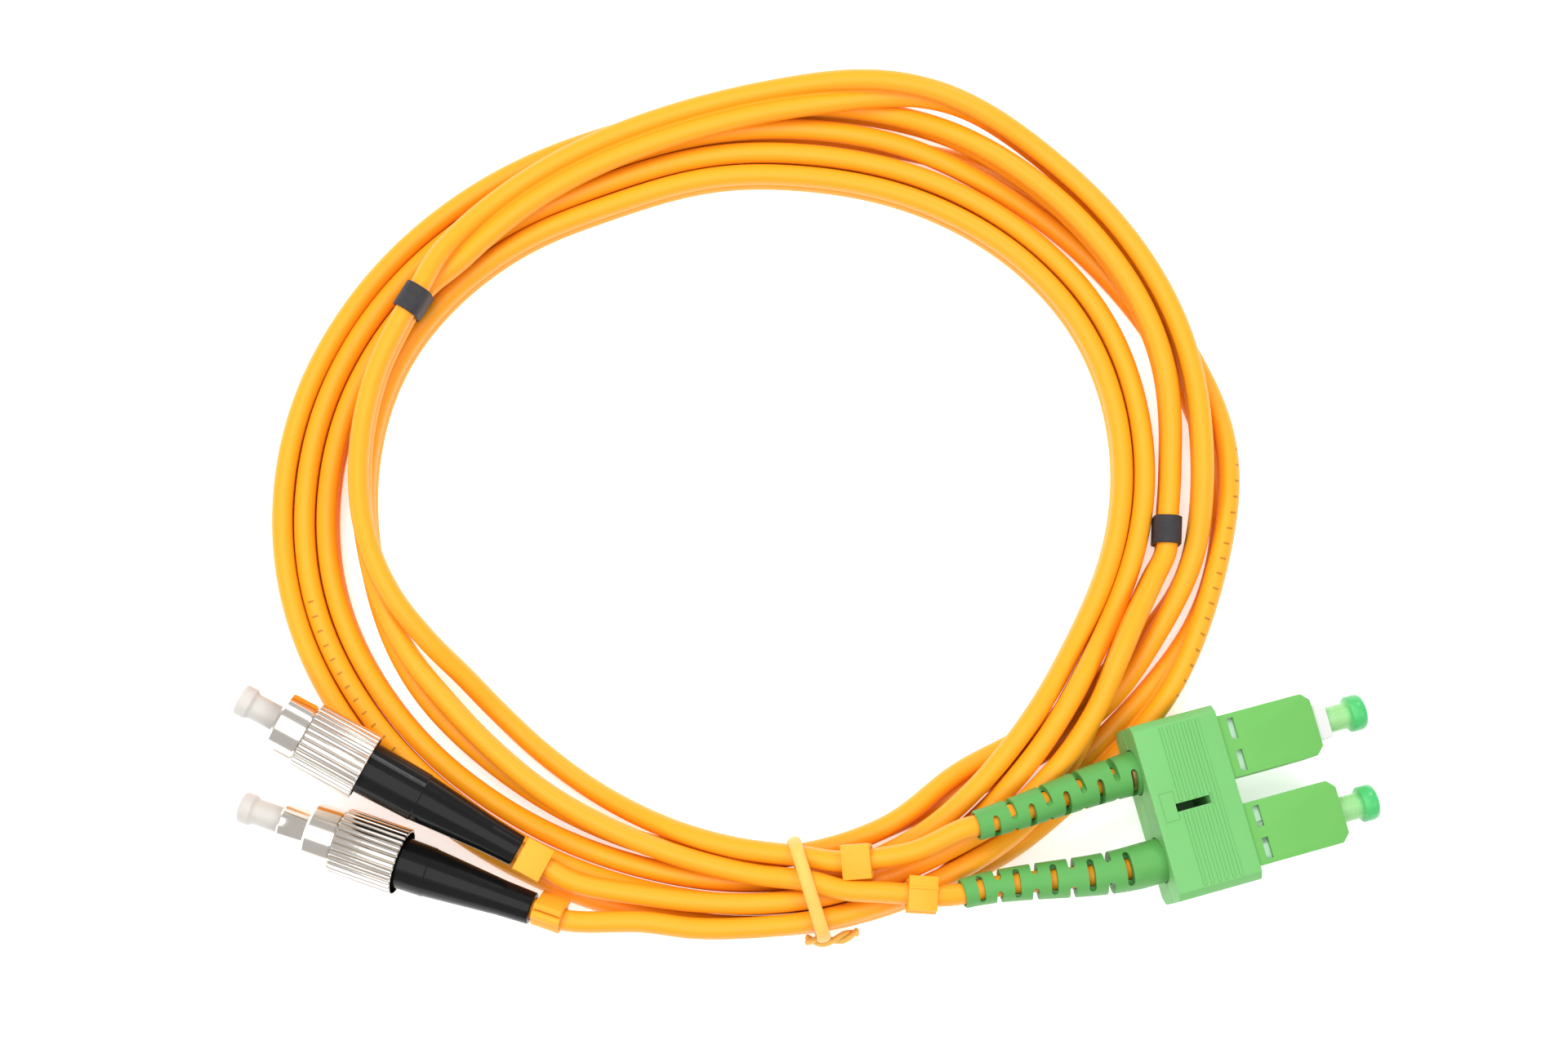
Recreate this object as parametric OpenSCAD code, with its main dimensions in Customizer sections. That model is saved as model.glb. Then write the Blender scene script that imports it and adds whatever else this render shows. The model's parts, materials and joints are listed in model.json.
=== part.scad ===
// Duplex fiber optic patch cord, coiled and tied: two FC plugs at one end,
// a duplex SC plug at the other. Millimetres, +Z up, resting on z = 0.

/* [Cord] */
// Diameter of one cord strand
strand_d = 3; // [2.8:0.1:3]
// Distance between the centres of the two joined strands
strand_pitch = 3.1; // [3:0.05:3.2]
// Play of the cord inside a boot, on each side
boot_play = 0.15; // [0.1:0.05:0.3]
// Diameter of the buffered fibre inside the plugs
fibre_d = 0.9; // [0.5:0.1:0.9]
// Length of the sleeves where the strands part
split_length = 4; // [3:0.5:6]
// Wall of the split sleeves, the markers and the crimp neck
sleeve_wall = 0.35; // [0.3:0.05:0.5]
// Height that the tie lifts the coil
tie_lift = 0.8; // [0.8:0.1:1.2]

/* [Ferrules and springs] */
// Diameter of the ceramic ferrules
ferrule_d = 2.5; // [1.25:0.05:2.5]
// Length of an FC ferrule
fc_ferrule_length = 10.5; // [10:0.1:10.8]
// Length of an SC ferrule
sc_ferrule_length = 9; // [8.6:0.1:9.2]
// Running clearance of sliding and turning fits, on each side
running_gap = 0.1; // [0.05:0.01:0.1]
// How far a ferrule can float back on its spring
float_travel = 1; // [0.5:0.1:1]
// Outer diameter of the ferrule springs
spring_d = 3.6; // [3.4:0.1:3.6]
// Wire diameter of the ferrule springs
spring_wire = 0.35; // [0.3:0.05:0.4]
// Diameter of the tail tube of a ferrule holder
holder_tail_d = 2.3; // [1.8:0.1:2.4]
// Length of the tail tube of a ferrule holder
holder_tail = 3.5; // [3:0.5:4]
// Length of the flange that seats the ferrule
holder_flange = 1.5; // [1.2:0.1:2]
// Bore of the rear bodies, round the fibre
rear_bore = 1.6; // [1.6:0.1:2]

/* [Crimp sleeves] */
// Outer diameter of a crimp sleeve
crimp_d = 4.8; // [4.7:0.05:4.8]
// Length of the neck that grips the cord
crimp_neck = 3; // [2:0.2:4]
// Outer diameter of the stem inside the crimp sleeve
stem_d = 3.9; // [3.6:0.1:3.9]
// Length of the stem inside the crimp sleeve
stem_length = 5.5; // [4:0.5:6]

/* [FC plugs] */
// Length of an FC boot
fc_boot_length = 26; // [25:0.5:27]
// Diameter of an FC boot at its tail
fc_boot_tail_d = 4.6; // [4.4:0.1:5]
// Diameter of an FC boot at its front
fc_boot_front_d = 7.6; // [7:0.1:7.6]
// Diameter of an FC boot half way along
fc_boot_waist_d = 6.9; // [6:0.1:7]
// Length of the straight front of an FC boot
fc_boot_straight = 2; // [1:0.5:4]
// Outer diameter of the FC front body
fc_body_d = 6; // [5.8:0.1:6.1]
// Diameter of the collar that stops the coupling nut
fc_collar_d = 7; // [6.8:0.05:7]
// Length of the collar
fc_collar_length = 0.9; // [0.8:0.1:1.2]
// Diameter of the FC nose
fc_nose_d = 5.45; // [5.2:0.05:5.6]
// Length of the FC nose
fc_nose_length = 4.6; // [4:0.1:5]
// Width of the key on the nose
fc_key_width = 2; // [1.8:0.05:2.2]
// Outer diameter of the coupling nut
fc_nut_d = 9; // [8.9:0.1:10]
// Length of the knurled part of the coupling nut
fc_knurl_length = 9.8; // [9:0.1:11]
// Number of grooves in the knurl
fc_knurl_grooves = 30; // [16:2:36]
// Diameter of the smooth front of the coupling nut
fc_nut_front_d = 8.5; // [8.1:0.1:8.8]
// Length of the smooth front of the coupling nut
fc_nut_front = 4.1; // [3.5:0.1:5]
// Bore at the threaded front of the nut, for M8 x 0.75
fc_thread_d = 7.2; // [7.15:0.01:7.2]
// Thickness of the web inside the nut
fc_web = 1.2; // [0.8:0.1:1.5]
// Depth of the nut behind the web
fc_skirt = 7; // [6:0.5:7.5]
// Wall of the nut behind the web
fc_skirt_wall = 0.38; // [0.3:0.02:0.5]
// Thickness of the slip washer behind the web
fc_washer = 0.6; // [0.4:0.1:0.8]
// How far a coupling nut slides
fc_nut_travel = 4.5; // [3:0.1:4.5]

/* [SC plugs] */
// Distance between the two SC axes
sc_pitch = 12.7; // [12.5:0.1:13]
// Width of an outer housing
sc_housing_width = 9; // [8.8:0.1:9.4]
// Height of an outer housing
sc_housing_height = 7.4; // [7.2:0.1:7.8]
// Length of an outer housing
sc_housing_length = 22.55; // [21:0.05:24]
// Width of the inner frame
sc_frame_width = 7.8; // [7.4:0.1:7.8]
// Height of the inner frame
sc_frame_height = 5.8; // [5.6:0.1:5.8]
// Length of the wide part of the inner frame
sc_frame_length = 13.5; // [12:0.5:14]
// Width of the nose of the inner frame
sc_nose_width = 5.1; // [4.9:0.1:5.4]
// Length of the nose of the inner frame
sc_nose_length = 5.5; // [5:0.1:6]
// How far the inner frame slides in its housing
sc_slide = 2.1; // [1.5:0.1:2.1]
// Length of an SC boot
sc_boot_length = 32.3; // [31:0.1:33]
// Diameter of an SC boot at its base
sc_boot_base_d = 6.3; // [6.2:0.05:6.4]
// Diameter of an SC boot at its tail
sc_boot_tail_d = 4.2; // [4.2:0.1:4.6]
// Length of the smooth base of an SC boot
sc_boot_base = 7.3; // [6:0.1:8]
// Width of the slots in an SC boot
sc_slot_width = 0.9; // [0.6:0.1:1.1]
// Distance between slots on the same side of the boot
sc_slot_pitch = 5.2; // [4.6:0.1:5.4]
// Number of slot groups along a boot
sc_slot_count = 5; // [3:1:5]
// Turn of the first SC boot about its cord
sc_a_boot_roll = 35; // [0:5:45]

/* [Duplex clip] */
// Length of the clip along the plugs
clip_length = 12.5; // [11:0.1:13]
// Width of the clip across both plugs
clip_width = 25.2; // [24.6:0.1:26]
// Height of the clip
clip_height = 9; // [8.8:0.1:9.6]
// Length of the rear wall of the clip
clip_rear_wall = 4; // [3:0.1:4.5]
// Length of the slot through the middle of the clip
clip_slot_length = 5.1; // [3:0.1:6]
// Width of the slot through the middle of the clip
clip_slot_width = 1.15; // [0.8:0.05:1.6]
// Number of fine grooves on the clip
clip_grooves = 6; // [2:1:8]
// Gap round each housing in the clip
clip_fit = 0.05; // [0.02:0.01:0.1]

/* [Dust caps, markers and tie] */
// Outer diameter of a dust cap barrel
cap_d = 3.7; // [3.6:0.05:3.75]
// Length of an FC dust cap barrel
fc_cap_barrel = 9; // [8:0.5:10]
// Diameter of the flange of an FC dust cap
fc_cap_flange_d = 4.9; // [4.5:0.1:5.5]
// Length of an SC dust cap barrel
sc_cap_barrel = 8.1; // [7.5:0.1:9]
// Diameter of the flange of an SC dust cap
sc_cap_flange_d = 5; // [4.6:0.1:5.5]
// Length of a marker along its cord
marker_length = 4.1; // [3:0.1:5]
// Width of the flat top of a marker
marker_width = 4.9; // [4.6:0.1:5.6]
// Width of the tie band
tie_width = 1.8; // [1.2:0.1:2.4]
// Thickness of the tie band
tie_thickness = 0.6; // [0.3:0.05:0.7]

/* [Hidden] */
$fn = 48;
eps = 0.01;
// centre of the coil in the model's frame
coil_x = -7.4;
coil_y = 41.7;

// ---- the joined cord: one row per place on its way round the coil ----
// [angle, radius, height of the underside, roll: 90 and -90 stand on edge, 0 lies flat]
stations = [
  [-2.5, 58.8, 0.6, 90], [8, 60, 1, 90], [18, 61.9, 3.4, 90], [30, 62.9, 3.4, 90],
  [60, 62, 3.4, 90], [76, 60.9, 0, 90], [90, 59.3, 0, 90], [110, 59, 0, 90],
  [130, 61.5, 0, 90], [150, 64.7, 0, 90], [170, 67.3, 0, 90], [190, 67.4, 0, 90],
  [210, 64.8, 0, 90], [230, 61.4, 0, 90], [250, 59.3, 0, 90], [270, 58.8, 0, 90],
  [290, 58.8, 0, 90], [299, 58.7, 0, 90], [308, 58.6, 0, 0], [318, 59.1, 0, 0],
  [326, 60.3, 0, 0], [332, 61.9, 0, 0], [344, 64.8, 0, 90], [352, 66.2, 0, 90],
  [362, 67.4, 0, 90], [372, 66.9, 0, 0], [383, 65.1, 0, 0], [396, 63, 0, 0],
  [404, 61.9, 0, 0], [412, 60.8, 0, 0], [424, 58.3, 0, -90], [437, 57, 0, -90],
  [455, 55.9, 0, -90], [475, 55.8, 0, -90], [495, 59.1, 0, -90], [515, 62.4, 0, -90],
  [530, 64.1, 0, -90], [550, 64.3, 0, -90], [570, 61.6, 0, -90], [590, 58.3, 0, -90],
  [610, 56.2, 0, -90], [630, 55.7, 0, -90], [650, 55.4, 0, -90], [663, 54.1, 0, -90],
  [674, 52.9, 3.3, -90], [692, 52, 3.3, -90], [703, 52.8, 0, -90],
  [720, 55.35, 0, -90], [735, 56.9, 0, -90], [750, 57.5, 0, -90], [765, 56.4, 0, -90],
  [780, 54.9, 0, -90], [800, 53, 0, -90], [815, 52.6, 0, -90], [835, 52.7, 0, -90],
  [852, 55.4, 0, -90], [875, 59.2, 0, -90], [890, 60.9, 0, -90], [910, 61.1, 0, -90],
  [930, 58.4, 0, -90], [950, 55.1, 0, -90], [970, 53, 0, -90], [990, 52.5, 0, -90],
  [1010, 52.2, 0, -90], [1020, 51.3, 3.3, -90], [1033, 49.7, 3.3, -90],
  [1044, 49, 3.3, -90], [1058, 49.2, 0, -90],
  [1080, 52.2, 0, -90], [1095, 53.7, 0, -90], [1110, 54.2, 0, -90], [1125, 53.2, 0, -90],
  [1140, 51.6, 0, -90], [1160, 49.7, 0, -90], [1175, 49.4, 0, -90], [1195, 49.5, 0, -90],
  [1212, 52.3, 0, -90], [1235, 55.8, 0, -90], [1250, 56.2, 0, -90], [1265, 55.5, 0, -90],
  [1285, 54.3, 0, -90], [1305, 51.4, 0, -90], [1325, 49.8, 0, -90], [1350, 49.3, 0, -90],
  [1370, 48.6, 0, -90], [1380, 48.1, 0, -90], [1388, 48.2, 0, 0], [1399, 51.2, 0, 0],
  [1407, 54, 0, 0], [1413, 55.9, 0, 0], [1423, 59.1, 0, 90], [1432, 62.6, 0, 90],
  [1445, 64, 3.4, 90], [1464, 66.2, 3.4, 90], [1490, 66.2, 3.4, 90],
  [1506, 65.6, 6.4, 90], [1524, 60.5, 6.4, 0], [1536, 57.9, 6.4, 0],
  [1548, 56.7, 6.4, 0], [1562, 56.5, 6.4, 0], [1574, 56.8, 6.4, 0], [1588.6, 57, 6.9, 90]];
station_count = len(stations);
cord_start = stations[0][0];
cord_end = stations[station_count - 1][0];
cord_rings = 106;
tie_angle = 278;
// turn of the tie out of the radial plane
tie_turn = 9.4;
sleeve_play = 0.25;

function ease(u) = u * u * (3 - 2 * u);
function clamp01(u) = min(max(u, 0), 1);
function slope(i) = i == 0 || i == station_count - 1 ? 0
  : (stations[i + 1][1] - stations[i - 1][1]) / (stations[i + 1][0] - stations[i - 1][0]);
function last_station(a, i = 0) =
  i < station_count - 2 && stations[i + 1][0] <= a ? last_station(a, i + 1) : i;
function radius_at(a, k, u, h) =
  (2 * u * u * u - 3 * u * u + 1) * stations[k][1] + (u * u * u - 2 * u * u + u) * slope(k) * h
  + (3 * u * u - 2 * u * u * u) * stations[k + 1][1] + (u * u * u - u * u) * slope(k + 1) * h;
function tied_height(a) =
  tie_lift * (1 - ease(clamp01((abs(a % 360 - tie_angle) - 8) / 22)));
function polar(a, r, z) = [r * cos(a), r * sin(a), z];
// centre and strand direction of the joined cord at angle a
function cord_at(a) =
  let (k = last_station(a), h = stations[k + 1][0] - stations[k][0],
    u = clamp01((a - stations[k][0]) / h), r = radius_at(a, k, u, h),
    bed = stations[k][2] + (stations[k + 1][2] - stations[k][2]) * ease(u),
    roll = stations[k][3] + (stations[k + 1][3] - stations[k][3]) * ease(u),
    z = bed + tied_height(a) + 0.05 + strand_d / 2 + abs(sin(roll)) * strand_pitch / 2)
  [polar(a, r, z), cos(roll) * [cos(a), sin(a), 0] + sin(roll) * [0, 0, 1]];

function unit(v) = v / norm(v);
// rings of a cross-section swept along centres, with an up direction for each
function swept(centres, ups, profile) =
  let (n = len(centres))
  [for (i = [0:n - 1])
    let (t = unit(centres[min(i + 1, n - 1)] - centres[max(i - 1, 0)]),
      up = unit(ups[i] - (ups[i] * t) * t), side = cross(t, up))
    [for (p = profile) centres[i] + p[0] * side + p[1] * up]];
// closed solid over a list of rings, all faces triangles
module skin(rings) {
  n = len(rings);
  m = len(rings[0]);
  points = concat([for (ring = rings) each ring],
    [mean(rings[0]), mean(rings[n - 1])]);
  walls = [for (i = [0:n - 2]) for (j = [0:m - 1])
    let (a = i * m + j, b = i * m + (j + 1) % m)
    each [[a, b + m, b], [a, a + m, b + m]]];
  caps = [for (j = [0:m - 1])
    each [[n * m, j, (j + 1) % m],
      [n * m + 1, (n - 1) * m + (j + 1) % m, (n - 1) * m + j]]];
  polyhedron(points = points, faces = concat(walls, caps));
}
function mean(list) = sum(list) / len(list);
function sum(list, i = 0) = i == len(list) - 1 ? list[i] : list[i] + sum(list, i + 1);
function ngon(r, sides) = [for (i = [0:sides - 1])
  r * [cos((i + 0.5) * 360 / sides), -sin((i + 0.5) * 360 / sides)]];
function all_up(list) = [for (p = list) [0, 0, 1]];

// flattened section of the joined cord, two lobes with a waist
lobe = strand_d / 2 - 0.25;
lobe_mid = strand_pitch / 2;
cord_profile = [[0, lobe_mid + strand_d / 2], [lobe, lobe_mid + 0.75], [lobe, lobe_mid - 0.75],
  [0.35, 0], [lobe, 0.75 - lobe_mid], [lobe, -lobe_mid - 0.75], [0, -lobe_mid - strand_d / 2],
  [-lobe, -lobe_mid - 0.75], [-lobe, 0.75 - lobe_mid], [-0.35, 0],
  [-lobe, lobe_mid - 0.75], [-lobe, lobe_mid + 0.75]];
// straight for about a strand's diameter at both ends
cord_angles = concat([cord_start, cord_start + 3],
  [for (i = [1:cord_rings - 1]) cord_start + (cord_end - cord_start) * i / cord_rings],
  [cord_end - 3, cord_end]);
cord_places = [for (a = cord_angles) cord_at(a)];
cord_skin = swept([for (p = cord_places) p[0]], [for (p = cord_places) p[1]], cord_profile);
// least distance between points of rings half a turn or more apart
cord_gap = min([for (i = [0:cord_rings - 10]) for (j = [i + 12:cord_rings + 2])
  if (norm(cord_places[i][0] - cord_places[j][0]) < 10)
    min([for (p = cord_skin[i]) for (q = cord_skin[j]) norm(p - q)])]);
echo(least_gap_of_the_coil = cord_gap);

// ---- FC plugs: s runs along the axis from the boot's tail ----
fc_flange_start = fc_boot_length - 6;
fc_stem_start = fc_flange_start - stem_length;
fc_leg_end = fc_stem_start - 0.5;
fc_crimp_start = fc_leg_end - crimp_neck - 0.6;
fc_barrel_start = fc_flange_start + 1.5;
fc_barrel_end = fc_barrel_start + 7.2;
fc_front_start = fc_boot_length + 0.2;
fc_holder_start = fc_barrel_end + float_travel + 0.2;
fc_holder_end = fc_holder_start + holder_flange;
fc_collar_start = fc_front_start + 6.25;
fc_nose_start = fc_collar_start + fc_collar_length;
fc_nose_end = fc_nose_start + fc_nose_length;
fc_ferrule_start = fc_holder_start + 0.1;
fc_ferrule_end = fc_ferrule_start + fc_ferrule_length;
fc_cap_start = fc_nose_end - 3.8;
fc_cap_end = fc_cap_start + fc_cap_barrel;
fc_nut_length = fc_knurl_length + fc_nut_front;
fc_nut_forward = fc_collar_start - 0.05 - fc_web - fc_skirt;
holder_d = 4;
crimp_bore = strand_d + 0.15;
barrel_bore = spring_d + 0.3;
barrel_d = 4.8;

// ---- SC plugs: u runs along the axis from the front of the inner frame ----
clip_rear = 28.4;
sc_housing_start = clip_rear + clip_rear_wall;
sc_front = sc_housing_start + sc_housing_length;
sc_frame_rear = -sc_nose_length - sc_frame_length;
sc_holder_front = -6.6;
sc_holder_rear = sc_holder_front - holder_flange;
sc_spring_rear = sc_holder_rear - 8.3;
sc_flange_rear = sc_frame_rear - 1.2;
sc_stem_rear = sc_flange_rear - stem_length - 1.3;
sc_leg_end = sc_stem_rear - 0.3;
sc_crimp_rear = sc_leg_end - crimp_neck + 0.7;
sc_cap_flange = 3.6;
sc_wall = running_gap;

// ---- places of the plugs: tail of the boot, heading, pitch ----
fc_a_tail = [-33.1, -48.3, 9.2];
fc_a_turn = [151.4, 4.5];
fc_b_tail = [-31, -56.3, 8.3];
fc_b_turn = [160.8, -5.5];
sc_heading = 15.5;
// nose-down tilt: the clip lies on the cord, the housings' noses on the table
sc_tilt = 9.6;
// point on the SC mid plane at s = 0
sc_origin = [28, -50.95, 12.95];

module at_coil() { translate([coil_x, coil_y, 0]) children(); }
module along(tail, turn) {
  at_coil() translate(tail) rotate([0, -turn[1], turn[0]]) children();
}
module fc_a() { along(fc_a_tail, fc_a_turn) children(); }
module fc_b() { along(fc_b_tail, fc_b_turn) children(); }
// local frame of the SC side: x along the plugs, y across them
module sc_frame(across) {
  at_coil() translate(sc_origin) rotate([0, sc_tilt, sc_heading])
    translate([0, across, 0]) children();
}
module sc_a() { sc_frame(sc_pitch / 2) translate([sc_front + sc_slide, 0, 0]) children(); }
module sc_b() { sc_frame(-sc_pitch / 2) translate([sc_front, 0, 0]) children(); }

// solid of revolution about x from [x, radius] pairs
module turned(pairs) { rotate([90, 0, 90]) rotate_extrude() polygon([for (p = pairs) [p[1], p[0]]]); }
module rod(x0, x1, d) { turned([[x0, 0], [x0, d / 2], [x1, d / 2], [x1, 0]]); }
module tube(x0, x1, d, bore) {
  turned([[x0, bore / 2], [x0, d / 2], [x1, d / 2], [x1, bore / 2]]);
}
module box(x0, x1, width, height) {
  translate([x0, -width / 2, -height / 2]) cube([x1 - x0, width, height]);
}

// ---- cord pieces ----
function on_axis(tail, turn, s) = tail + s * [cos(turn[0]) * cos(turn[1]),
  sin(turn[0]) * cos(turn[1]), sin(turn[1])];
function sc_point(across, s, rise = 0, swing = 0) = sc_origin
  + s * [cos(sc_heading) * cos(sc_tilt), sin(sc_heading) * cos(sc_tilt), -sin(sc_tilt)]
  + (across + swing) * [-sin(sc_heading), cos(sc_heading), 0] + [0, 0, rise];
// bend of the SC boots: [start s, length, rise of the tail, swing of the tail]
sc_a_bend = [27.4, 23.15, 1.4, -1.3];
sc_b_bend = [25.3, 25.35, -1.8, 2.9];
function bend_point(across, bend, s) =
  let (u = clamp01((bend[0] - s) / bend[1]), k = ease(u))
  sc_point(across, s, k * bend[2], k * bend[3]);
fc_a_route = [polar(357.5, 58.8, 5.25), polar(354.5, 58.8, 5.25), polar(350.5, 57.5, 6),
  polar(344, 56, 8), polar(337, 55.5, 8.8), polar(330, 55.8, 7.9), polar(323, 56, 7.6),
  polar(316, 56, 7.5), polar(310, 56, 7.7), polar(304, 55.4, 8.8), polar(298, 55.1, 8.4),
  polar(291, 55.1, 8.4), polar(284, 55.2, 8.6), polar(278, 55.4, 8.7), polar(270, 55.6, 8.6),
  polar(262, 55.9, 8.3), polar(254, 56.6, 8.1)];
fc_b_route = [polar(357.5, 58.8, 2.15), polar(354.5, 58.8, 2.15), polar(350.5, 57.3, 2.9),
  polar(344, 55.8, 4.9), polar(337, 55.3, 5.7), polar(330, 55.8, 4.8), polar(323, 56.8, 4.7),
  polar(316, 57.8, 4.7), polar(310, 58.4, 5), polar(304, 58.4, 7.4), polar(298, 58.3, 8.2),
  polar(291, 58.3, 8.4), polar(284, 58.4, 8.6), polar(278, 58.6, 8.7), polar(270, 58.9, 8.6),
  polar(262, 59.6, 8.4), polar(255, 60.2, 8.5)];
sc_a_route = [polar(148.6, 57, 11.55), polar(151.6, 57, 11.55), polar(160, 57.1, 11.2),
  polar(169, 56.7, 11), polar(178, 55.9, 11), polar(186, 54.6, 11), polar(194, 52.5, 10.7),
  polar(202, 49.8, 8.9), polar(210, 47.4, 5.6), polar(218, 46.2, 3), polar(228, 45.6, 2),
  polar(239, 45.6, 2.3), polar(249, 46.1, 4.2), polar(258, 46.9, 6.8), polar(267, 47.9, 8.6),
  polar(278, 49.6, 10.3), [11.6, -49.8, 11.1], [17, -49.4, 11.9], [22.4, -48.4, 12.6]];
sc_b_route = [polar(148.6, 57, 8.45), polar(151.6, 57, 8.45), polar(160, 57.1, 8.1),
  polar(169, 56.7, 7.9), polar(178, 55.9, 7.9), polar(186, 55.2, 7.9), polar(194, 54.4, 7.9),
  polar(203, 53, 7.8), polar(212, 51.3, 7.8), polar(222, 50.2, 7.8), polar(233, 49.7, 7.8),
  polar(244, 49.5, 7.9), polar(254, 49.8, 7.9), polar(262, 50.5, 8.3), polar(270, 51.6, 9.1),
  polar(278, 53, 10.9), polar(283, 55.2, 12), [17.3, -54.1, 12.5], [20.4, -54.3, 12.4],
  [25.8, -54.6, 11.8]];
module leg(points) {
  color([1, 0.66, 0.13])
    at_coil() skin(swept(points, all_up(points), ngon(strand_d / 2, 8)));
}
module fc_a_leg() {
  leg(concat(fc_a_route, [for (s = [-9, -4, 0, 7, fc_leg_end]) on_axis(fc_a_tail, fc_a_turn, s)]));
}
module fc_b_leg() {
  leg(concat(fc_b_route, [for (s = [-5, 0, 7, fc_leg_end]) on_axis(fc_b_tail, fc_b_turn, s)]));
}
sc_a_tail = sc_front + sc_slide - 20.5 - sc_boot_length;
sc_b_tail = sc_front - 22.7 - sc_boot_length;
sc_a_leg_end = sc_front + sc_slide + sc_leg_end;
sc_b_leg_end = sc_front + sc_leg_end;
// places along a boot where it and the cord in it bend
sc_a_places = [sc_a_tail, 8, 12, 16, 20, 24, sc_a_bend[0]];
sc_b_places = [sc_b_tail, 4, 8, 12, 16, 20, sc_b_bend[0]];
module sc_a_leg() {
  leg(concat(sc_a_route, [for (s = concat([sc_a_tail - 2], sc_a_places, [sc_a_leg_end]))
    bend_point(sc_pitch / 2, sc_a_bend, s)]));
}
module sc_b_leg() {
  leg(concat(sc_b_route, [for (s = concat(sc_b_places, [sc_b_leg_end]))
    bend_point(-sc_pitch / 2, sc_b_bend, s)]));
}
module duplex_cable() {
  color([1, 0.66, 0.13]) at_coil() skin(cord_skin);
}

// sleeve with a slot-shaped hole, standing round both strands at the end of the joined cord
module split_sleeve(a, r, bed) {
  at_coil() rotate([0, 0, a]) translate([r, 0, bed + 0.05 + strand_d / 2 + strand_pitch / 2])
    rotate([90, 0, 0]) linear_extrude(split_length, center = true) difference() {
      stadium(strand_d / 2 + sleeve_play + sleeve_wall);
      stadium(strand_d / 2 + sleeve_play);
    }
}
module stadium(r) {
  square([2 * r, strand_pitch], center = true);
  for (side = [-1, 1]) translate([0, side * strand_pitch / 2]) circle(r);
}
module fc_split_sleeve() {
  color([0.13, 0.13, 0.14]) split_sleeve(cord_start, stations[0][1], stations[0][2]);
}
module sc_split_sleeve() {
  last = stations[station_count - 1];
  color([0.13, 0.13, 0.14]) split_sleeve(cord_end, last[1], last[2]);
}

// clip-on marker on the stretch of cord from p to q: ring, flat top and side channel
module marker(p, q) {
  r = strand_d / 2 + boot_play;
  d = q - p;
  color([0.98, 0.78, 0.22]) along((p + q) / 2, [atan2(d[1], d[0]), asin(d[2] / norm(d))])
    rotate([90, 0, 90]) linear_extrude(marker_length, center = true) difference() {
      union() {
        circle(r + sleeve_wall + 0.1);
        translate([-marker_width / 2, r - 0.35]) square([marker_width, 0.9]);
        translate([-r - 0.3, 0.3]) circle(0.65);
      }
      circle(r);
      translate([-r - 0.3, 0.3]) circle(0.3);
    }
}
module fc_a_marker() {
  marker(on_axis(fc_a_tail, fc_a_turn, 0), on_axis(fc_a_tail, fc_a_turn, -5));
}
module fc_b_marker() {
  marker(on_axis(fc_b_tail, fc_b_turn, 0), on_axis(fc_b_tail, fc_b_turn, -5));
}
module sc_a_marker() { marker(sc_a_route[16], sc_a_route[17]); }
module sc_b_marker() { marker(sc_b_route[18], sc_b_route[19]); }

// band of the tie in its own plane: [across, height], and its twisted ends
tie_inner = [[47.8, 0.7], [60.4, 0.7], [61, 1.5], [61, 9.3], [60.2, 10.6], [54.6, 12.5],
  [52.8, 12.8], [48.7, 12.1], [47.6, 10.8], [47.2, 9], [47.2, 1.4]];
function edge_normal(p, q) = unit([q[1] - p[1], p[0] - q[0]]);
function grown(list, d) = [for (i = [0:len(list) - 1])
  let (n = len(list), a = edge_normal(list[(i + n - 1) % n], list[i]),
    b = edge_normal(list[i], list[(i + 1) % n]))
  list[i] + d * (a + b) / (1 + a * b)];
module bag_tie() {
  color([0.98, 0.88, 0.35]) {
    at_coil() rotate([0, 0, tie_angle - 360]) translate([54, 0, 0]) rotate([0, 0, tie_turn])
      translate([-54, 0, 0]) rotate([90, 0, 0])
        linear_extrude(tie_width, center = true) difference() {
          polygon(grown(tie_inner, tie_thickness));
          polygon(tie_inner);
        }
    tie_ends();
  }
}
// ends twisted together, laid along the outside of the bundle
module tie_ends() {
  for (side = [-1, 1])
    at_coil() skin(swept([for (i = [0:12]) let (a = tie_angle + 1.1 + 0.42 * i)
      polar(a, 61.4 + min(0.15 * i, 0.6) + 0.45 * side * cos(i * 45), 6 + 0.45 * side * sin(i * 45))],
      [for (i = [0:12]) [0, 0, 1]], ngon(0.4, 6)));
}

// ---- FC pieces, in the plug's own frame ----
module fc_boot() {
  color([0.08, 0.08, 0.09]) turned([[0, strand_d / 2 + boot_play], [0, fc_boot_tail_d / 2],
    [fc_boot_length / 2, fc_boot_waist_d / 2],
    [fc_boot_length - fc_boot_straight, fc_boot_front_d / 2],
    [fc_boot_length, fc_boot_front_d / 2], [fc_boot_length, crimp_d / 2 + 0.1],
    [fc_crimp_start - 0.5, crimp_d / 2 + 0.1],
    [fc_crimp_start - 0.5, strand_d / 2 + boot_play]]);
}
module crimp(rear, step, front) {
  color([0.75, 0.75, 0.78]) turned([[rear, crimp_bore / 2], [rear, crimp_d / 2],
    [front, crimp_d / 2], [front, stem_d / 2 + 0.05], [step, stem_d / 2 + 0.05],
    [step, crimp_bore / 2]]);
}
module fc_crimp_sleeve() { crimp(fc_crimp_start, fc_leg_end, fc_flange_start - 0.2); }
module fc_rear_body() {
  color([0.8, 0.78, 0.72]) turned([[fc_stem_start, rear_bore / 2], [fc_stem_start, stem_d / 2],
    [fc_flange_start, stem_d / 2], [fc_flange_start, barrel_d / 2],
    [fc_barrel_end, barrel_d / 2], [fc_barrel_end, barrel_bore / 2],
    [fc_barrel_start - 0.5, barrel_bore / 2], [fc_barrel_start - 0.5, rear_bore / 2]]);
}
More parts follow.
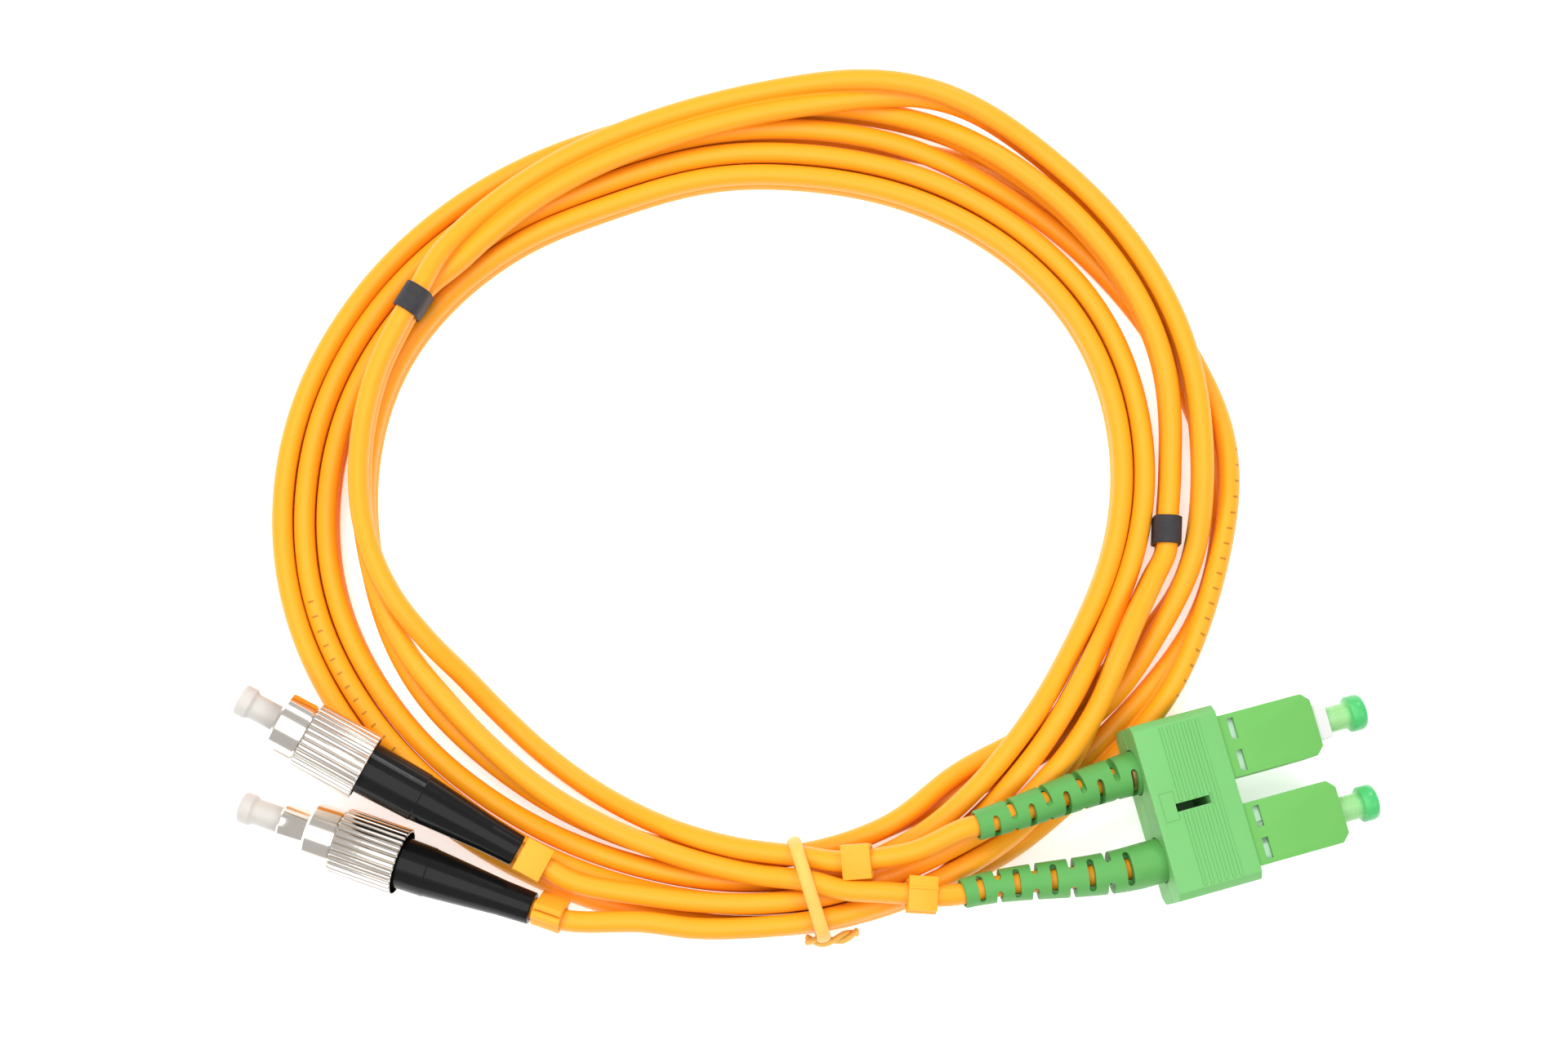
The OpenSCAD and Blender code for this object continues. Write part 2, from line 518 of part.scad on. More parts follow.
module fc_front_body() {
  color([0.85, 0.85, 0.87]) difference() {
    turned([[fc_front_start, barrel_d / 2 + 0.05], [fc_front_start, fc_body_d / 2],
      [fc_collar_start, fc_body_d / 2], [fc_collar_start, fc_collar_d / 2],
      [fc_nose_start, fc_collar_d / 2], [fc_nose_start, fc_nose_d / 2],
      [fc_nose_end - 0.3, fc_nose_d / 2], [fc_nose_end, fc_nose_d / 2 - 0.3],
      [fc_nose_end, cap_d / 2 + running_gap], [fc_holder_end + 0.1, cap_d / 2 + running_gap],
      [fc_holder_end + 0.1, holder_d / 2 + running_gap],
      [fc_barrel_end + 0.1, holder_d / 2 + running_gap],
      [fc_barrel_end + 0.1, barrel_d / 2 + 0.05]]);
    translate([fc_nose_end - 3.4, -fc_key_width / 2, fc_nose_d / 2 - 0.35])
      cube([3.5, fc_key_width, 1]);
  }
}
// seat for a ferrule: a flange with a tail tube, from its rear at x = 0
module ferrule_holder(rear) {
  color([0.82, 0.8, 0.7]) turned([[rear - holder_tail, fibre_d / 2 + 0.05],
    [rear - holder_tail, holder_tail_d / 2], [rear, holder_tail_d / 2], [rear, holder_d / 2],
    [rear + holder_flange, holder_d / 2], [rear + holder_flange, ferrule_d / 2],
    [rear + 0.1, ferrule_d / 2], [rear + 0.1, fibre_d / 2 + 0.05]]);
}
module ferrule(rear, front) {
  color([0.96, 0.96, 0.94]) turned([[rear, 0], [rear, ferrule_d / 2],
    [front - 0.4, ferrule_d / 2], [front, ferrule_d / 2 - 0.3], [front, 0]]);
}
module spring(rear, front) {
  color([0.7, 0.7, 0.72]) tube(rear, front, spring_d, spring_d - 2 * spring_wire);
}
module fibre(rear, front) {
  color([0.95, 0.9, 0.6]) rod(rear, front, fibre_d);
}
module fc_ferrule_holder() { ferrule_holder(fc_holder_start); }
module fc_ferrule() { ferrule(fc_ferrule_start, fc_ferrule_end); }
module fc_spring() { spring(fc_barrel_start - 0.3, fc_holder_start - 0.1); }
module fc_fibre() { fibre(fc_leg_end + float_travel + 0.3, fc_holder_start - 0.1); }
module fc_dust_cap() {
  color([0.93, 0.94, 0.94, 0.8]) turned([[fc_cap_start, ferrule_d / 2 + 0.03],
    [fc_cap_start, cap_d / 2], [fc_cap_end, cap_d / 2], [fc_cap_end, fc_cap_flange_d / 2],
    [fc_cap_end + 1.2, fc_cap_flange_d / 2], [fc_cap_end + 1.5, fc_cap_flange_d / 2 - 0.3],
    [fc_cap_end + 1.5, 0], [fc_cap_end - 0.7, 0], [fc_cap_end - 0.7, ferrule_d / 2 + 0.03]]);
}
// coupling nut from its rear edge: skirt, web and threaded front
module fc_coupling_nut(rear) {
  color([0.78, 0.78, 0.76]) difference() {
    turned([[rear, fc_nut_d / 2 - fc_skirt_wall], [rear, fc_nut_d / 2 - 0.15],
      [rear + 0.15, fc_nut_d / 2], [rear + fc_knurl_length - 0.3, fc_nut_d / 2],
      [rear + fc_knurl_length, fc_nut_front_d / 2],
      [rear + fc_nut_length - 0.4, fc_nut_front_d / 2],
      [rear + fc_nut_length, fc_nut_front_d / 2 - 0.4],
      [rear + fc_nut_length, fc_thread_d / 2], [rear + fc_skirt + fc_web, fc_thread_d / 2],
      [rear + fc_skirt + fc_web, fc_body_d / 2 + running_gap / 2],
      [rear + fc_skirt, fc_body_d / 2 + running_gap / 2],
      [rear + fc_skirt, fc_nut_d / 2 - fc_skirt_wall]]);
    for (i = [0:fc_knurl_grooves - 1]) rotate([i * 360 / fc_knurl_grooves, 0, 0])
      translate([rear + 0.8, 0, fc_nut_d / 2]) rotate([45, 0, 0])
        translate([0, -0.1, -0.1]) cube([fc_knurl_length - 1.8, 0.2, 0.2]);
  }
}
module fc_nut_washer(rear) {
  color([0.7, 0.7, 0.72]) tube(rear + fc_skirt - 0.05 - fc_washer, rear + fc_skirt - 0.05,
    fc_nut_d - 2 * fc_skirt_wall - 0.14, fc_body_d + 0.15);
}

module fc_a_dust_cap() { fc_a() fc_dust_cap(); }
module fc_a_coupling_nut() { fc_a() fc_coupling_nut(fc_nut_forward); }
module fc_a_nut_washer() { fc_a() fc_nut_washer(fc_nut_forward); }
module fc_a_front_body() { fc_a() fc_front_body(); }
module fc_a_ferrule() { fc_a() fc_ferrule(); }
module fc_a_ferrule_holder() { fc_a() fc_ferrule_holder(); }
module fc_a_spring() { fc_a() fc_spring(); }
module fc_a_rear_body() { fc_a() fc_rear_body(); }
module fc_a_crimp_sleeve() { fc_a() fc_crimp_sleeve(); }
module fc_a_boot() { fc_a() fc_boot(); }
module fc_a_fibre() { fc_a() fc_fibre(); }
module fc_b_dust_cap() { fc_b() fc_dust_cap(); }
module fc_b_coupling_nut() { fc_b() fc_coupling_nut(fc_nut_forward - fc_nut_travel); }
module fc_b_nut_washer() { fc_b() fc_nut_washer(fc_nut_forward - fc_nut_travel); }
module fc_b_front_body() { fc_b() fc_front_body(); }
module fc_b_ferrule() { fc_b() fc_ferrule(); }
module fc_b_ferrule_holder() { fc_b() fc_ferrule_holder(); }
module fc_b_spring() { fc_b() fc_spring(); }
module fc_b_rear_body() { fc_b() fc_rear_body(); }
module fc_b_crimp_sleeve() { fc_b() fc_crimp_sleeve(); }
module fc_b_boot() { fc_b() fc_boot(); }
module fc_b_fibre() { fc_b() fc_fibre(); }

// ---- SC pieces, in the core's own frame ----
module sc_inner_frame() {
  color([0.93, 0.93, 0.9]) difference() {
    union() {
      box(sc_frame_rear, -sc_nose_length, sc_frame_width, sc_frame_height);
      box(-sc_nose_length - eps, 0, sc_nose_width, sc_frame_height);
    }
    rod(sc_holder_front + 0.1, 1, cap_d + 2 * running_gap);
    rod(sc_frame_rear - 1, sc_holder_front + 0.1, sc_frame_bore);
  }
}
sc_frame_bore = holder_d + 0.4 + 2 * running_gap;
sc_barrel_d = sc_frame_bore - 0.1;
module sc_ferrule_holder() {
  color([0.82, 0.8, 0.7]) turned([[sc_holder_rear - holder_tail + 0.6, fibre_d / 2 + 0.05],
    [sc_holder_rear - holder_tail + 0.6, holder_tail_d / 2],
    [sc_holder_rear, holder_tail_d / 2], [sc_holder_rear, holder_d / 2 + 0.2],
    [sc_holder_front, holder_d / 2 + 0.2], [sc_holder_front, ferrule_d / 2],
    [sc_holder_rear + 0.1, ferrule_d / 2], [sc_holder_rear + 0.1, fibre_d / 2 + 0.05]]);
}
module sc_ferrule() { ferrule(sc_holder_rear + 0.1, sc_holder_rear + 0.1 + sc_ferrule_length); }
module sc_spring() { spring(sc_spring_rear + 0.1, sc_holder_rear - 0.1); }
module sc_fibre() { fibre(sc_leg_end + float_travel + 0.3, sc_holder_rear); }
module sc_rear_body() {
  color([0.8, 0.78, 0.72]) turned([[sc_stem_rear, rear_bore / 2], [sc_stem_rear, stem_d / 2],
    [sc_flange_rear, stem_d / 2], [sc_flange_rear, 2.7], [sc_frame_rear - 0.02, 2.7],
    [sc_frame_rear - 0.02, sc_barrel_d / 2], [sc_holder_rear - float_travel - 0.4, sc_barrel_d / 2],
    [sc_holder_rear - float_travel - 0.4, spring_d / 2 + 0.15],
    [sc_spring_rear, spring_d / 2 + 0.15], [sc_spring_rear, rear_bore / 2]]);
}
module sc_crimp_sleeve() { crimp(sc_crimp_rear, sc_leg_end, sc_flange_rear - 0.2); }
module sc_dust_cap() {
  color([0.35, 0.85, 0.5, 0.7]) turned([[sc_cap_flange - sc_cap_barrel, ferrule_d / 2 + 0.03],
    [sc_cap_flange - sc_cap_barrel, cap_d / 2], [sc_cap_flange, cap_d / 2],
    [sc_cap_flange, sc_cap_flange_d / 2], [sc_cap_flange + 1.9, sc_cap_flange_d / 2],
    [sc_cap_flange + 2.6, sc_cap_flange_d / 2 - 0.7],
    [sc_cap_flange + 2.8, sc_cap_flange_d / 2 - 1.3], [sc_cap_flange + 2.8, 0],
    [sc_cap_flange - 1, 0], [sc_cap_flange - 1, ferrule_d / 2 + 0.03]]);
}
// outer housing, in the frame of the clip
module sc_outer_housing() {
  color([0.5, 0.82, 0.42]) difference() {
    translate([0, 0, -sc_housing_height / 2]) linear_extrude(sc_housing_height)
      polygon([[sc_housing_start, -sc_housing_width / 2], [sc_front - 1.9, -sc_housing_width / 2],
        [sc_front, 1.05 - sc_housing_width / 2], [sc_front, sc_housing_width / 2 - 1.05],
        [sc_front - 1.9, sc_housing_width / 2], [sc_housing_start, sc_housing_width / 2]]);
    rod(sc_housing_start - 1, sc_housing_start + 4.6, sc_boot_base_d + 2 * running_gap);
    box(sc_housing_start - 1, sc_front - 3.2, sc_frame_width + 2 * sc_wall,
      sc_frame_height + 2 * sc_wall);
    box(sc_front - 4, sc_front + 1, sc_nose_width + 2 * sc_wall,
      sc_frame_height + 2 * sc_wall);
    for (side = [-1, 1]) translate([sc_housing_start + 10.4,
      side * (sc_housing_width / 4 + 0.05), sc_housing_height / 2])
      cube([1, 3, sc_housing_height - sc_frame_height + 0.4], center = true);
  }
}
// boot that bends from the clip to its tail, with staggered slots
module sc_boot(across, bend, places, core, roll) {
  tail = places[0];
  front = tail + sc_boot_length;
  smooth = front - sc_boot_base;
  color([0.4, 0.75, 0.4]) difference() {
    at_coil() skin(fitted([for (s = concat(places, [front])) bend_point(across, bend, s)],
      [for (s = concat(places, [front])) sc_boot_tail_d / 2
        + (sc_boot_base_d - sc_boot_tail_d) / 2 * clamp01((s - tail) / (smooth - tail))], 20));
    at_coil() skin(fitted([for (s = concat([tail - 2], places, [front + 1]))
      bend_point(across, bend, s)],
      [for (i = [0:len(places) + 1]) strand_d / 2 + boot_play + 0.03], 16));
    sc_frame(across) rod(core + sc_crimp_rear - 0.2, front + 1, crimp_d + 0.2);
    for (i = [0:sc_slot_count - 1])
      slots(across, bend, tail + 2.4 + i * sc_slot_pitch, roll, i < sc_slot_count - 1);
  }
}
function fitted(centres, radii, sides) =
  let (n = len(centres))
  [for (i = [0:n - 1])
    let (t = unit(centres[min(i + 1, n - 1)] - centres[max(i - 1, 0)]),
      up = unit([0, 0, 1] - t[2] * t), side = cross(t, up))
    [for (p = ngon(radii[i], sides)) centres[i] + p[0] * side + p[1] * up]];
// one top slot and, half a pitch on, a pair of side slots, turned by roll about the boot
module slots(across, bend, s, roll, pair) {
  slot_at(across, bend, s) rotate([roll, 0, 0]) translate([0, 0, 5 + 0.6])
    cube([sc_slot_width, 3.4, 10], center = true);
  if (pair) for (side = [-1, 1]) slot_at(across, bend, s + sc_slot_pitch / 2)
    rotate([roll, 0, 0]) translate([0, side * (5 + 0.9), 0])
      cube([sc_slot_width, 10, 3], center = true);
}
module slot_at(across, bend, s) {
  p = bend_point(across, bend, s);
  q = bend_point(across, bend, s + 0.5);
  at_coil() translate(p) rotate([0, -asin((q - p)[2] / norm(q - p)),
    atan2((q - p)[1], (q - p)[0])]) children();
}
// half of the duplex clip: side = 1 above the plugs, -1 below them
module clip_half(side) {
  half = clip_height / 2;
  pocket_w = sc_housing_width + 2 * clip_fit;
  pocket_h = sc_housing_height / 2 + clip_fit;
  difference() {
    sc_frame(0) mirror([0, 0, side > 0 ? 0 : 1]) difference() {
      clip_outline(half);
      for (across = [-1, 1]) translate([0, across * sc_pitch / 2, 0]) {
        translate([sc_housing_start - clip_fit, -pocket_w / 2, -1])
          cube([clip_length, pocket_w, pocket_h + 1]);
        rod(clip_rear - 1, sc_housing_start + 1, sc_boot_base_d + 2 * running_gap);
      }
      translate([clip_rear + clip_length / 2 - 0.6, 0, 0])
        cube([clip_slot_length, clip_slot_width, 20], center = true);
      for (i = [0:clip_grooves - 1])
        translate([clip_rear + 4.2 + i * 0.9, 0, half]) cube([0.3, clip_width - 4, 0.3], center = true);
    }
  }
}
module clip_outline(half) {
  bevel = 0.8;
  translate([clip_rear, 0, 0]) rotate([90, 0, 90]) linear_extrude(clip_length)
    polygon([[-clip_width / 2, 0], [clip_width / 2, 0], [clip_width / 2, half - bevel],
      [clip_width / 2 - bevel, half], [bevel - clip_width / 2, half],
      [-clip_width / 2, half - bevel]]);
}

module clip_upper_half() { color([0.53, 0.84, 0.53]) clip_half(1); }
module clip_lower_half() { color([0.53, 0.84, 0.53]) clip_half(-1); }
module sc_a_outer_housing() { sc_frame(sc_pitch / 2) sc_outer_housing(); }
module sc_a_inner_frame() { sc_a() sc_inner_frame(); }
module sc_a_ferrule() { sc_a() sc_ferrule(); }
module sc_a_ferrule_holder() { sc_a() sc_ferrule_holder(); }
module sc_a_spring() { sc_a() sc_spring(); }
module sc_a_rear_body() { sc_a() sc_rear_body(); }
module sc_a_crimp_sleeve() { sc_a() sc_crimp_sleeve(); }
module sc_a_fibre() { sc_a() sc_fibre(); }
module sc_a_dust_cap() { sc_a() sc_dust_cap(); }
module sc_a_boot() {
  sc_boot(sc_pitch / 2, sc_a_bend, sc_a_places, sc_front + sc_slide, sc_a_boot_roll);
}
module sc_b_outer_housing() { sc_frame(-sc_pitch / 2) sc_outer_housing(); }
module sc_b_inner_frame() { sc_b() sc_inner_frame(); }
module sc_b_ferrule() { sc_b() sc_ferrule(); }
module sc_b_ferrule_holder() { sc_b() sc_ferrule_holder(); }
module sc_b_spring() { sc_b() sc_spring(); }
module sc_b_rear_body() { sc_b() sc_rear_body(); }
module sc_b_crimp_sleeve() { sc_b() sc_crimp_sleeve(); }
module sc_b_fibre() { sc_b() sc_fibre(); }
module sc_b_dust_cap() { sc_b() sc_dust_cap(); }
module sc_b_boot() { sc_boot(-sc_pitch / 2, sc_b_bend, sc_b_places, sc_front, 0); }

duplex_cable();
fc_a_leg();
fc_b_leg();
sc_a_leg();
sc_b_leg();
fc_split_sleeve();
sc_split_sleeve();
fc_a_marker();
fc_b_marker();
sc_a_marker();
sc_b_marker();
bag_tie();
clip_upper_half();
clip_lower_half();
fc_a_dust_cap();
fc_a_coupling_nut();
fc_a_nut_washer();
fc_a_front_body();
fc_a_ferrule();
fc_a_ferrule_holder();
fc_a_spring();
fc_a_rear_body();
fc_a_crimp_sleeve();
fc_a_boot();
fc_a_fibre();
fc_b_dust_cap();
fc_b_coupling_nut();
fc_b_nut_washer();
fc_b_front_body();
fc_b_ferrule();
fc_b_ferrule_holder();
fc_b_spring();
fc_b_rear_body();
fc_b_crimp_sleeve();
fc_b_boot();
fc_b_fibre();
sc_a_dust_cap();
sc_a_outer_housing();
sc_a_inner_frame();
sc_a_ferrule();
sc_a_ferrule_holder();
sc_a_spring();
sc_a_rear_body();
sc_a_crimp_sleeve();
sc_a_boot();
sc_a_fibre();
sc_b_dust_cap();
sc_b_outer_housing();
sc_b_inner_frame();
sc_b_ferrule();
sc_b_ferrule_holder();
sc_b_spring();
sc_b_rear_body();
sc_b_crimp_sleeve();
sc_b_boot();
sc_b_fibre();
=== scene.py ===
import json
import math

import bpy
from mathutils import Matrix, Vector

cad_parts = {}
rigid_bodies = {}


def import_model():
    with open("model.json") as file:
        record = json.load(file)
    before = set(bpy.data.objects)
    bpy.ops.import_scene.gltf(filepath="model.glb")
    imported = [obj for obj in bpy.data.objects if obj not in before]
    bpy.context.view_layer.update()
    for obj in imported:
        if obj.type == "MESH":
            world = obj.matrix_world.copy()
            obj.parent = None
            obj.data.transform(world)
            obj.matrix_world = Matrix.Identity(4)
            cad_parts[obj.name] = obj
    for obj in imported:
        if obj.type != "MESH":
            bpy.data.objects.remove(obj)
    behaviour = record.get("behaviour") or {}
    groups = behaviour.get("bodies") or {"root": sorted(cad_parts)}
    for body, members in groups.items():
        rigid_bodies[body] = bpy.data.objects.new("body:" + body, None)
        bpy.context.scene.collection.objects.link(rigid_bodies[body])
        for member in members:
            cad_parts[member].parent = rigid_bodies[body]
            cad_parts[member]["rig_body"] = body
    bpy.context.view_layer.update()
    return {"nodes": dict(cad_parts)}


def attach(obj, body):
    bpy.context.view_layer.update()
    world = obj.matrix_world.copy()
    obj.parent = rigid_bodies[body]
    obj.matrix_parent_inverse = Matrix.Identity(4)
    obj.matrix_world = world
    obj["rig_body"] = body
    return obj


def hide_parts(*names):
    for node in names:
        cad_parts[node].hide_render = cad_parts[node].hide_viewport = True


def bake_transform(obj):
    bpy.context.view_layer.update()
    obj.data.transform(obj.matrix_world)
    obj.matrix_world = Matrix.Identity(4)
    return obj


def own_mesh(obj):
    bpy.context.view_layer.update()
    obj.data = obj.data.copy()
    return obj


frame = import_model()
bpy.ops.object.select_all(action="DESELECT")

# ---- Table and studio ----
# The cord lies on a plain white table under wide soft lamps. The lens hangs half a metre above
# it, turned 7.5 degrees out of the vertical.
bpy.ops.mesh.primitive_plane_add(size=6, location=(0, 0.04, 0))
table = bpy.context.object
table.name = "table"
white_table = bpy.data.materials.new("white_table")
white_table.use_nodes = True
paint = white_table.node_tree.nodes["Principled BSDF"]
paint.inputs["Base Color"].default_value = (0.9, 0.9, 0.9, 1)
paint.inputs["Roughness"].default_value = 0.7
paint.inputs["Specular IOR Level"].default_value = 0.2
paint.inputs["Emission Color"].default_value = (1, 1, 1, 1)
paint.inputs["Emission Strength"].default_value = 0.5
table.data.materials.append(white_table)

studio = bpy.data.worlds.new("studio")
studio.use_nodes = True
room = studio.node_tree.nodes["Background"]
room.inputs["Color"].default_value = (0.97, 0.97, 0.98, 1)
# polished metal mirrors the pale walls of the room, which light the table less than the lamps do
ray = studio.node_tree.nodes.new("ShaderNodeLightPath")
walls = studio.node_tree.nodes.new("ShaderNodeMapRange")
walls.inputs["To Min"].default_value = 0.32
walls.inputs["To Max"].default_value = 0.62
studio.node_tree.links.new(ray.outputs["Is Glossy Ray"], walls.inputs["Value"])
studio.node_tree.links.new(walls.outputs["Result"], room.inputs["Strength"])
bpy.context.scene.world = studio
bpy.context.scene.view_settings.view_transform = "Standard"

for name, place, aim, size, power, mirrored in (
    ("wide_lamp", (-0.25, 0.45, 0.75), (0, 0.03, 0), 0.5, 5.1, False),
    ("over_lamp", (-0.12, -0.08, 0.8), (-0.1, 0.0, 0), 0.8, 3.0, True),
    ("top_lamp", (0.3, 0.7, 0.45), (0, 0.03, 0), 0.2, 0.9, True),
    ("side_lamp", (0.55, -0.15, 0.6), (0, 0.03, 0), 0.35, 2.3, False),
    ("strip_lamp", (-0.6, -0.25, 0.45), (0, 0.03, 0), 0.25, 1.4, False),
):
    bpy.ops.object.light_add(type="AREA", location=place)
    lamp = bpy.context.object
    lamp.name = name
    lamp.data.size = size
    lamp.data.energy = power
    lamp.visible_glossy = mirrored
    lamp.rotation_euler = (Vector(aim) - Vector(place)).to_track_quat("-Z", "Y").to_euler()

# the point of the table that the lens looks at, its distance and its turn out of the vertical
aim_x, aim_y, lens_distance, tilt = -0.00332, 0.04089, 0.5, math.radians(7.5)
bpy.ops.object.camera_add(
    location=(aim_x, aim_y - lens_distance * math.sin(tilt), lens_distance * math.cos(tilt)),
    rotation=(tilt, 0, 0),
)
camera = bpy.context.object
camera.name = "camera"
camera.data.sensor_width = 36
camera.data.lens = 79.6875
camera.data.clip_start = 0.01
bpy.context.scene.camera = camera

# ---- Joined cord ----
# Two 3 mm strands of orange PVC round a fibre each, moulded side by side with a thin web and
# wound into four and a half turns. It stands on edge for most of the way, and rolls flat where
# it passes over or under another turn.
mm = 0.001
coil = Vector((-7.4, 41.7, 0))
strand = 3.0
pitch = 3.1

# angle, radius, height of the underside, roll
stations = (
    (-2.5, 58.8, 0.6, 90), (8, 60, 1, 90), (18, 61.9, 3.4, 90), (30, 62.9, 3.4, 90),
    (60, 62, 3.4, 90), (76, 60.9, 0, 90), (90, 59.3, 0, 90), (110, 59, 0, 90), (130, 61.5, 0, 90),
    (150, 64.7, 0, 90), (170, 67.3, 0, 90), (190, 67.4, 0, 90), (210, 64.8, 0, 90),
    (230, 61.4, 0, 90), (250, 59.3, 0, 90), (270, 58.8, 0, 90), (290, 58.8, 0, 90),
    (299, 58.7, 0, 90), (308, 58.6, 0, 0), (318, 59.1, 0, 0), (326, 60.3, 0, 0),
    (332, 61.9, 0, 0), (344, 64.8, 0, 90), (352, 66.2, 0, 90), (362, 67.4, 0, 90),
    (372, 66.9, 0, 0), (383, 65.1, 0, 0), (396, 63, 0, 0), (404, 61.9, 0, 0), (412, 60.8, 0, 0),
    (424, 58.3, 0, -90), (437, 57, 0, -90), (455, 55.9, 0, -90), (475, 55.8, 0, -90),
    (495, 59.1, 0, -90), (515, 62.4, 0, -90), (530, 64.1, 0, -90), (550, 64.3, 0, -90),
    (570, 61.6, 0, -90), (590, 58.3, 0, -90), (610, 56.2, 0, -90), (630, 55.7, 0, -90),
    (650, 55.4, 0, -90), (663, 54.1, 0, -90), (674, 52.9, 3.3, -90), (692, 52, 3.3, -90),
    (703, 52.8, 0, -90), (720, 55.35, 0, -90), (735, 56.9, 0, -90), (750, 57.5, 0, -90),
    (765, 56.4, 0, -90), (780, 54.9, 0, -90), (800, 53, 0, -90), (815, 52.6, 0, -90),
    (835, 52.7, 0, -90), (852, 55.4, 0, -90), (875, 59.2, 0, -90), (890, 60.9, 0, -90),
    (910, 61.1, 0, -90), (930, 58.4, 0, -90), (950, 55.1, 0, -90), (970, 53, 0, -90),
    (990, 52.5, 0, -90), (1010, 52.2, 0, -90), (1020, 51.3, 3.3, -90), (1033, 49.7, 3.3, -90),
    (1044, 49, 3.3, -90), (1058, 49.2, 0, -90), (1080, 52.2, 0, -90), (1095, 53.7, 0, -90),
    (1110, 54.2, 0, -90), (1125, 53.2, 0, -90), (1140, 51.6, 0, -90), (1160, 49.7, 0, -90),
    (1175, 49.4, 0, -90), (1195, 49.5, 0, -90), (1212, 52.3, 0, -90), (1235, 55.8, 0, -90),
    (1250, 56.2, 0, -90), (1265, 55.5, 0, -90), (1285, 54.3, 0, -90), (1305, 51.4, 0, -90),
    (1325, 49.8, 0, -90), (1350, 49.3, 0, -90), (1370, 48.6, 0, -90), (1380, 48.1, 0, -90),
    (1388, 48.2, 0, 0), (1399, 51.2, 0, 0), (1407, 54, 0, 0), (1413, 55.9, 0, 0),
    (1423, 59.1, 0, 90), (1432, 62.6, 0, 90), (1445, 64, 3.4, 90), (1464, 66.2, 3.4, 90),
    (1490, 66.2, 3.4, 90), (1506, 65.6, 6.4, 90), (1524, 60.5, 6.4, 0), (1536, 57.9, 6.4, 0),
    (1548, 56.7, 6.4, 0), (1562, 56.5, 6.4, 0), (1574, 56.8, 6.4, 0), (1588.6, 57, 6.9, 90),
)
# where the tie holds the bundle, how far it lifts the cord off the table, and half the lifted
# stretch and the length of its slopes in degrees
tie_angle, tie_lift, tie_reach, tie_slope = 278, 0.8, 8, 22
table_gap = 0.05


def ease(u):
    """Goes from 0 to 1 with no jolt at either end."""
    u = min(max(u, 0), 1)
    return u * u * (3 - 2 * u)


def slope(i):
    """How fast the radius changes at a station, in millimetres per degree."""
    if i in (0, len(stations) - 1):
        return 0
    (a, ra, _, _), (b, rb, _, _) = stations[i - 1], stations[i + 1]
    return (rb - ra) / (b - a)


def round_coil(angle, radius, z):
    """A point by its angle and radius about the middle of the coil, in millimetres."""
    a = math.radians(angle)
    return Vector((radius * math.cos(a), radius * math.sin(a), z))


def cord_at(angle):
    """Middle of the joined cord and the direction from one strand to the other."""
    k = max(i for i in range(len(stations) - 1) if i == 0 or stations[i][0] <= angle)
    (a, ra, bed, roll), (b, rb, next_bed, next_roll) = stations[k], stations[k + 1]
    h = b - a
    u = min(max((angle - a) / h, 0), 1)
    radius = (2 * u**3 - 3 * u**2 + 1) * ra + (u**3 - 2 * u**2 + u) * slope(k) * h
    radius += (3 * u**2 - 2 * u**3) * rb + (u**3 - u**2) * slope(k + 1) * h
    bed += (next_bed - bed) * ease(u)
    turn = math.radians(roll + (next_roll - roll) * ease(u))
    lift = tie_lift * (1 - ease((abs(angle % 360 - tie_angle) - tie_reach) / tie_slope))
    z = bed + lift + table_gap + strand / 2 + abs(math.sin(turn)) * pitch / 2
    out = round_coil(angle, 1, 0)
    return round_coil(angle, radius, z), math.cos(turn) * out + Vector((0, 0, math.sin(turn)))


def new_piece(name, points, faces):
    """An object with a mesh of these points and faces."""
    mesh = bpy.data.meshes.new(name)
    mesh.from_pydata([tuple(p) for p in points], [], faces)
    piece = bpy.data.objects.new(name, mesh)
    bpy.context.scene.collection.objects.link(piece)
    return piece


def tube(name, centres, ups, outline):
    """A closed skin over one outline swept along centres (mm in the coil's frame), with a UV map
    of turns round the section and metres along the cord."""
    rings, run = [], [0.0]
    for i, (here, up) in enumerate(zip(centres, ups)):
        ahead = centres[min(i + 1, len(centres) - 1)] - centres[max(i - 1, 0)]
        ahead.normalize()
        up = (up - ahead * up.dot(ahead)).normalized()
        side = ahead.cross(up)
        rings.append([here + side * x + up * y for x, y in outline])
        if i:
            run.append(run[-1] + (here - centres[i - 1]).length * mm)
    count = len(outline)
    points = [(p + coil) * mm for ring in rings for p in ring]
    ends = [sum(ring, Vector()) / count for ring in (rings[0], rings[-1])]
    points += [(p + coil) * mm for p in ends]
    faces, marks = [], []
    for i in range(len(rings) - 1):
        for j in range(count):
            a, b = i * count + j, i * count + (j + 1) % count
            faces.append((a, b, b + count, a + count))
            u, w = j / count, (j + 1) / count
            marks += [(u, run[i]), (w, run[i]), (w, run[i + 1]), (u, run[i + 1])]
    first, last = len(rings) * count, (len(rings) - 1) * count
    for j in range(count):
        k = (j + 1) % count
        faces.append((first, k, j))
        faces.append((first + 1, last + j, last + k))
        marks += [(0.5, run[0])] * 3 + [(0.5, run[-1])] * 3
    piece = new_piece(name, points, faces)
    uv_map = piece.data.uv_layers.new(name="UVMap")
    uv_map.data.foreach_set("uv", [c for uv in marks for c in uv])
    piece.data.polygons.foreach_set("use_smooth", [True] * len(faces))
    piece.data.update()
    return piece


# outline of both strands with the web between them, from the top round: the skin of each strand
# shows for 164 degrees to either side of its outermost point
lobe_turn, lobe_points = 164, 20
top_lobe = []
for step in range(lobe_points + 1):
    a = math.radians(90 - lobe_turn + step * lobe_turn * 2 / lobe_points)
    top_lobe.append((-strand / 2 * math.cos(a), pitch / 2 + strand / 2 * math.sin(a)))
lower_lobe = [(-x, -y) for x, y in top_lobe]
cord_outline = top_lobe + lower_lobe

